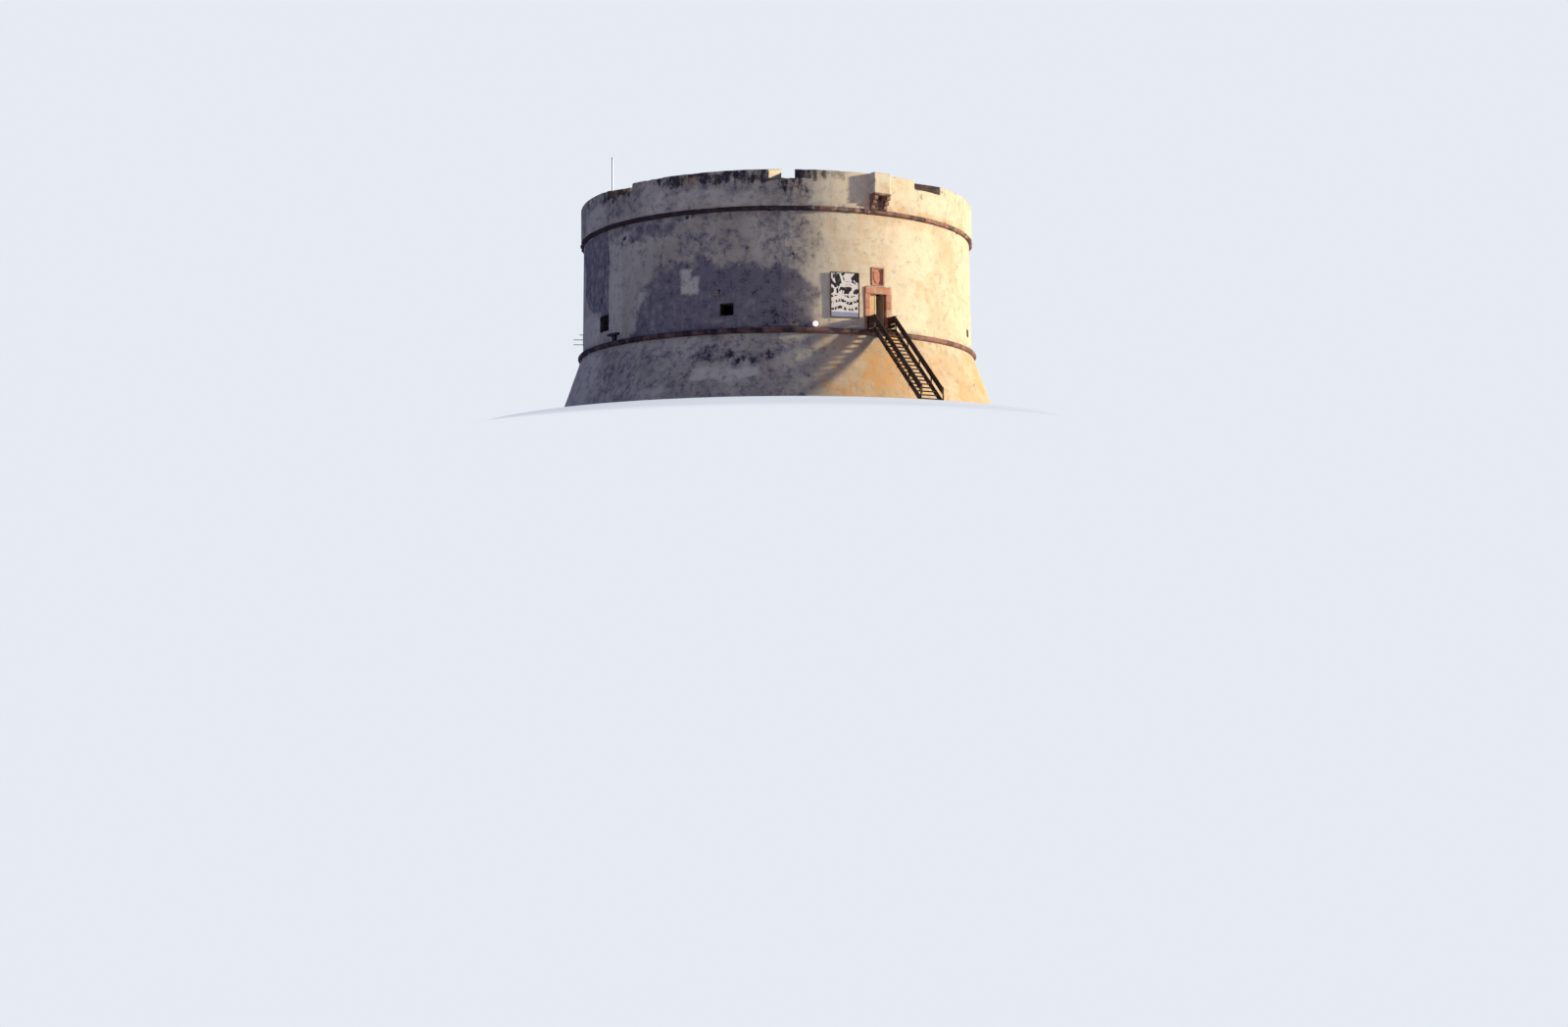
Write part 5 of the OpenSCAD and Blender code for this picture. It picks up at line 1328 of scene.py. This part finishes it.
# A boarded leaf as it stands when closed on the right: upright boards with bevelled edges,
# and on their front two stiles and three rails, with a row of nails along each rail.
def closedLeaf(seed):
    near, far, foot, top, stile, front = (leaf[key] for key in ("near", "far", "foot", "top", "stile", "front"))
    face = front - leaf["raise"]
    let = face - 0.006
    shapes, nails = [], []
    edges = np.linspace(near, far, leaf["boards"] + 1)
    for k, (a, b) in enumerate(zip(edges, edges[1:])):
        sections = boardSections((leaf["back"], a + 0.0008, foot), (face, b - 0.0008, top), 2)
        shapes.append(bar(sections, seed=seed + k, **planks["leafBoard"]))
    for k, a in enumerate((near, far - stile)):
        sections = boardSections((let, a, foot), (front, a + stile, top), 2)
        shapes.append(bar(sections, seed=seed + 10 + k, **planks["leafStile"]))
    step = (top - foot - stile) / (leaf["rails"] - 1)
    for k in range(leaf["rails"]):
        z = foot + k * step
        sections = boardSections((let, near + stile + 0.001, z), (front - 0.0015, far - stile - 0.001, z + stile), 1)
        shapes.append(bar(sections, seed=seed + 20 + k, **planks["leafRail"]))
        for y in np.linspace(near + stile / 2, far - stile / 2, leaf["nails"]):
            points, faces, looks = boltHead(y, 0.0, z + stile / 2, 1, leaf["nail"])
            points = np.stack([front - 0.0018 + points[:, 1], points[:, 0], points[:, 2]], -1)
            nails.append((points, faces[:, ::-1], looks))
    return joined(shapes), joined(nails)


# Swings a closed right-hand shape open about its pin, and mirrors it for the left.
def hungLeaf(shape, side, angle):
    points, faces, looks = shape
    turn = math.radians(angle)
    x, y = points[:, 0] - leaf["pinX"], points[:, 1] - leaf["pinY"]
    x, y = x * math.cos(turn) + y * math.sin(turn), y * math.cos(turn) - x * math.sin(turn)
    points = np.stack([x + leaf["pinX"], side * (y + leaf["pinY"]), points[:, 2]], -1)
    return points, faces if side > 0 else faces[:, ::-1], looks


for side, word, angle in ((-1, "left", 0.0), (1, "right", leaf["open"])):
    boards, nails = (hungLeaf(shape, side, angle) for shape in closedLeaf(600 + 50 * side))
    makeFacing(word + "LeafBoards", [boards], "doorTimber", "door_timber", body="door_" + word,
               replaces=["door_leaf_" + word])
    makeFacing(word + "LeafNails", [nails], "oldIron", "wrought_iron", body="door_" + word)
print("tower: stair and door leaves made")


poster = {"azimuth": -10.1, "face": 11.3085, "thick": 0.0025, "half": 0.805, "foot": 5.07, "height": 2.41,
          "wave": 0.006, "ripple": 0.0025, "cell": 0.035, "slat": 0.045, "slatOut": 0.016, "slatOver": 0.018}


# Printed sheet stretched over the board: it swells between its fixings by noise, with
# ripples across it by sin(14 * z + 5 * noise), and four slats hold its edges.
def posterSheet():
    ys = np.linspace(-poster["half"], poster["half"], int(2 * poster["half"] / poster["cell"]) + 1)
    zs = np.linspace(0, poster["height"], int(poster["height"] / poster["cell"]) + 1)
    places, faces = latticeSkin(np.ones((1, len(ys) - 1, len(zs) - 1), bool))
    y, z, front = ys[places[:, 1]], zs[places[:, 2]], places[:, 0] == 1
    rim = np.minimum(poster["half"] - np.abs(y), np.minimum(z, poster["height"] - z))
    flat = np.stack([y * 0, y, z], -1)
    swell = poster["wave"] * (0.6 + smoothNoise(flat, 0.5, 3.0)) * smoothStep(rim / 0.15)
    swell += poster["ripple"] * np.sin(14 * z + 5 * smoothNoise(flat, 0.9, 6.0)) * smoothStep(rim / 0.05)
    x = poster["face"] + np.where(front, poster["thick"] + np.maximum(swell, 0), 0)
    sheet = (np.stack([x, y, z + poster["foot"]], -1), faces, {"sheet": np.stack([y, z, 0 * z], -1)})
    makeFacing("posterSheet", [sheet], "fadedPrint", "poster_board", poster["azimuth"])
    slat, back, out = poster["slat"], poster["face"], poster["face"] + poster["slatOut"]
    wide, low, high = (poster["half"] + poster["slatOver"], poster["foot"] - poster["slatOver"],
                       poster["height"] + poster["foot"] + poster["slatOver"])
    between = wide - slat - 0.001
    slats = [((back, -wide, low), (out, slat - wide, high), 2), ((back, wide - slat, low), (out, wide, high), 2),
             ((back, -between, low), (out - 0.001, between, low + slat), 1),
             ((back, -between, high - slat), (out - 0.001, between, high), 1)]
    slats = [bar(boardSections(*box), seed=700 + k, **planks["slat"]) for k, box in enumerate(slats)]
    makeFacing("posterSlats", slats, "darkTimber", "poster_board", poster["azimuth"])


posterSheet()

lamp = {"azimuth": -18.5, "back": 11.2495, "height": 4.665, "radius": 0.165, "body": 0.070, "glass": 0.055, "turns": 48}


# A shape turned about an axis that points out of the wall: rings of radius and distance,
# y = radius * cos(a), z = height + radius * sin(a), closed by strips at both ends.
def turned(profile, back, height, turns):
    angle = np.radians(np.arange(turns) * 360 / turns)
    row, column = np.meshgrid(np.arange(len(profile)), np.arange(turns), indexing="ij")
    points = np.stack([back + profile[row, 1], profile[row, 0] * np.cos(angle[column]),
                       height + profile[row, 0] * np.sin(angle[column])], -1).reshape(-1, 3)
    faces = gridFaces(len(profile), turns, closed=True)
    half = turns // 2
    cap = np.array([[k, k + 1, turns - 2 - k, turns - 1 - k] for k in range(half - 1)])
    faces = np.concatenate([faces, cap[:, ::-1], cap + (len(profile) - 1) * turns])
    if signedVolume(points, faces) < 0:
        faces = faces[:, ::-1]
    return points, faces, {"tone": np.zeros(len(points))}


# Round bulkhead lamp: a dished body with a rolled rim, and a glass whose curve is
# radius * cos(t), depth * sin(t).
def wallLamp():
    radius, body = lamp["radius"], lamp["body"]
    shell = np.array([(0.98, 0.0), (1, 0.004 / body), (1, 0.55), (0.985, 0.72), (0.99, 0.80), (1, 0.88),
                      (0.985, 0.97), (0.955, 1), (0.91, 0.98), (0.90, 0.9)]) * (radius, body)
    t = np.radians(np.linspace(0, 88, 12))
    glass = np.stack([radius * 0.89 * np.cos(t), body * 0.90 + lamp["glass"] * np.sin(t)], 1)
    glass = np.concatenate([[(radius * 0.90, body * 0.86)], glass])
    makeFacing("lampBody", [turned(shell, lamp["back"], lamp["height"], lamp["turns"])], "whitePaint", "white_paint",
               lamp["azimuth"], replaces=["wall_lamp"])
    makeFacing("lampGlass", [turned(glass, lamp["back"], lamp["height"], lamp["turns"])], "opalGlass", "lamp_glass",
               lamp["azimuth"])


wallLamp()
print("tower: poster and lamp made")


stage = {"rim": 17.0, "slope": 0.2, "depth": 60.0, "reach": 900.0, "pale": "#eff0f2", "sky": "#e6ebf3",
         "near": 15.0, "far": 24.0, "glow": 0.70, "start": 0.5, "drop": 0.003, "ease": 2.0}


# Pale floor: level out to the rim, then falling away as -depth * (1 - exp(-slope * s / depth)),
# so that a camera below the tower's foot still sees the tower stand on it. To the camera
# it fades from a shaded surface into the backdrop's own colour with distance.
def makeFloor():
    out = np.concatenate([np.linspace(stage["start"], stage["rim"], 18),
                          stage["rim"] + np.geomspace(0.15, stage["reach"], 60)])
    past = np.maximum(out - stage["rim"], 0)
    fall = stage["depth"] * (1 - np.exp(-stage["slope"] * past / stage["depth"]))
    z = -stage["drop"] - smoothStep(past / stage["ease"]) * fall
    az = np.linspace(-180, 180, 181)[:-1]
    rows, columns = np.meshgrid(np.arange(len(out)), az, indexing="ij")
    points = polar(columns, out[rows], z[rows])
    mesh = bpy.data.meshes.new("paleFloor")
    mesh.from_pydata(points.reshape(-1, 3).tolist(), [], gridFaces(len(out), len(az), closed=True)[:, ::-1].tolist())
    floor = bpy.data.objects.new("paleFloor", mesh)
    bpy.context.scene.collection.objects.link(floor)
    mesh.polygons.foreach_set("use_smooth", np.full(len(mesh.polygons), True))
    material = bpy.data.materials.new("paleFloor")
    material.use_nodes = True
    tree = material.node_tree
    shader = tree.nodes["Principled BSDF"]
    shader.inputs["Base Color"].default_value = colour(stage["pale"])
    shader.inputs["Roughness"].default_value = 0.95
    shader.inputs["Specular IOR Level"].default_value = 0.0
    spot = addNode(tree, "ShaderNodeTexCoord").outputs["Object"]
    gone = addNode(tree, "ShaderNodeVectorMath", {0: spot}, operation="LENGTH").outputs["Value"]
    share = maths(tree, "MAXIMUM", ramp(tree, gone, stage["near"], stage["far"]), stage["glow"])
    share = maths(tree, "MULTIPLY", share, addNode(tree, "ShaderNodeLightPath").outputs["Is Camera Ray"])
    glow = addNode(tree, "ShaderNodeEmission", {"Color": colour(stage["sky"]), "Strength": 1.0})
    mixed = addNode(tree, "ShaderNodeMixShader", {0: share, 1: shader.outputs[0], 2: glow.outputs[0]})
    tree.links.new(mixed.outputs[0], tree.nodes["Material Output"].inputs["Surface"])
    mesh.materials.append(material)


makeFloor()

light = {"azimuth": 63.5, "elevation": 11.5, "strength": 5.1, "softness": 3.0, "warmth": "#fff5e0",
         "fill": "#9fb0ff", "fillStrength": 0.37}
lampData = bpy.data.lights.new("keyLight", "SUN")
lampData.energy = light["strength"]
lampData.angle = math.radians(light["softness"])
lampData.color = colour(light["warmth"])[:3]
key = bpy.data.objects.new("keyLight", lampData)
bpy.context.scene.collection.objects.link(key)
elevation = math.radians(light["elevation"])
toLight = polar(light["azimuth"], math.cos(elevation), math.sin(elevation))
key.rotation_euler = Vector(toLight).to_track_quat("Z", "Y").to_euler()

world = bpy.data.worlds.new("studio")
bpy.context.scene.world = world
world.use_nodes = True
tree = world.node_tree
tree.nodes.clear()
fill = addNode(tree, "ShaderNodeBackground", {"Color": colour(light["fill"]), "Strength": light["fillStrength"]})
backdrop = addNode(tree, "ShaderNodeBackground", {"Color": colour(stage["sky"]), "Strength": 1.0})
ray = addNode(tree, "ShaderNodeLightPath")
mixed = addNode(tree, "ShaderNodeMixShader",
                {0: ray.outputs["Is Camera Ray"], 1: fill.outputs[0], 2: backdrop.outputs[0]})
tree.links.new(mixed.outputs[0], addNode(tree, "ShaderNodeOutputWorld").inputs["Surface"])

view = {"azimuth": -28.9, "distance": 125.9, "height": -13.96, "pitch": 4.24, "roll": -0.41, "yaw": 0.151,
        "lens": 49.995, "sensor": 36.0, "clip": (1.0, 4000.0)}
camera = bpy.data.objects.new("camera", bpy.data.cameras.new("camera"))
bpy.context.scene.collection.objects.link(camera)
camera.data.lens = view["lens"]
camera.data.sensor_width = view["sensor"]
camera.data.clip_start, camera.data.clip_end = view["clip"]
heading = math.radians(view["azimuth"] - view["yaw"])
pitch, roll = math.radians(view["pitch"]), math.radians(view["roll"])
ahead = Vector((-math.sin(heading) * math.cos(pitch), math.cos(heading) * math.cos(pitch), math.sin(pitch)))
right = Vector((math.cos(heading), math.sin(heading), 0.0))
above = right.cross(ahead)
rightRolled = right * math.cos(roll) + above * math.sin(roll)
aboveRolled = above * math.cos(roll) - right * math.sin(roll)
place = Matrix((rightRolled, aboveRolled, -ahead)).transposed().to_4x4()
place.translation = Vector(polar(view["azimuth"], view["distance"], view["height"]))
camera.matrix_world = place
bpy.context.scene.camera = camera
bpy.context.scene.view_settings.view_transform = "Standard"
print("tower: stage, light and camera set")
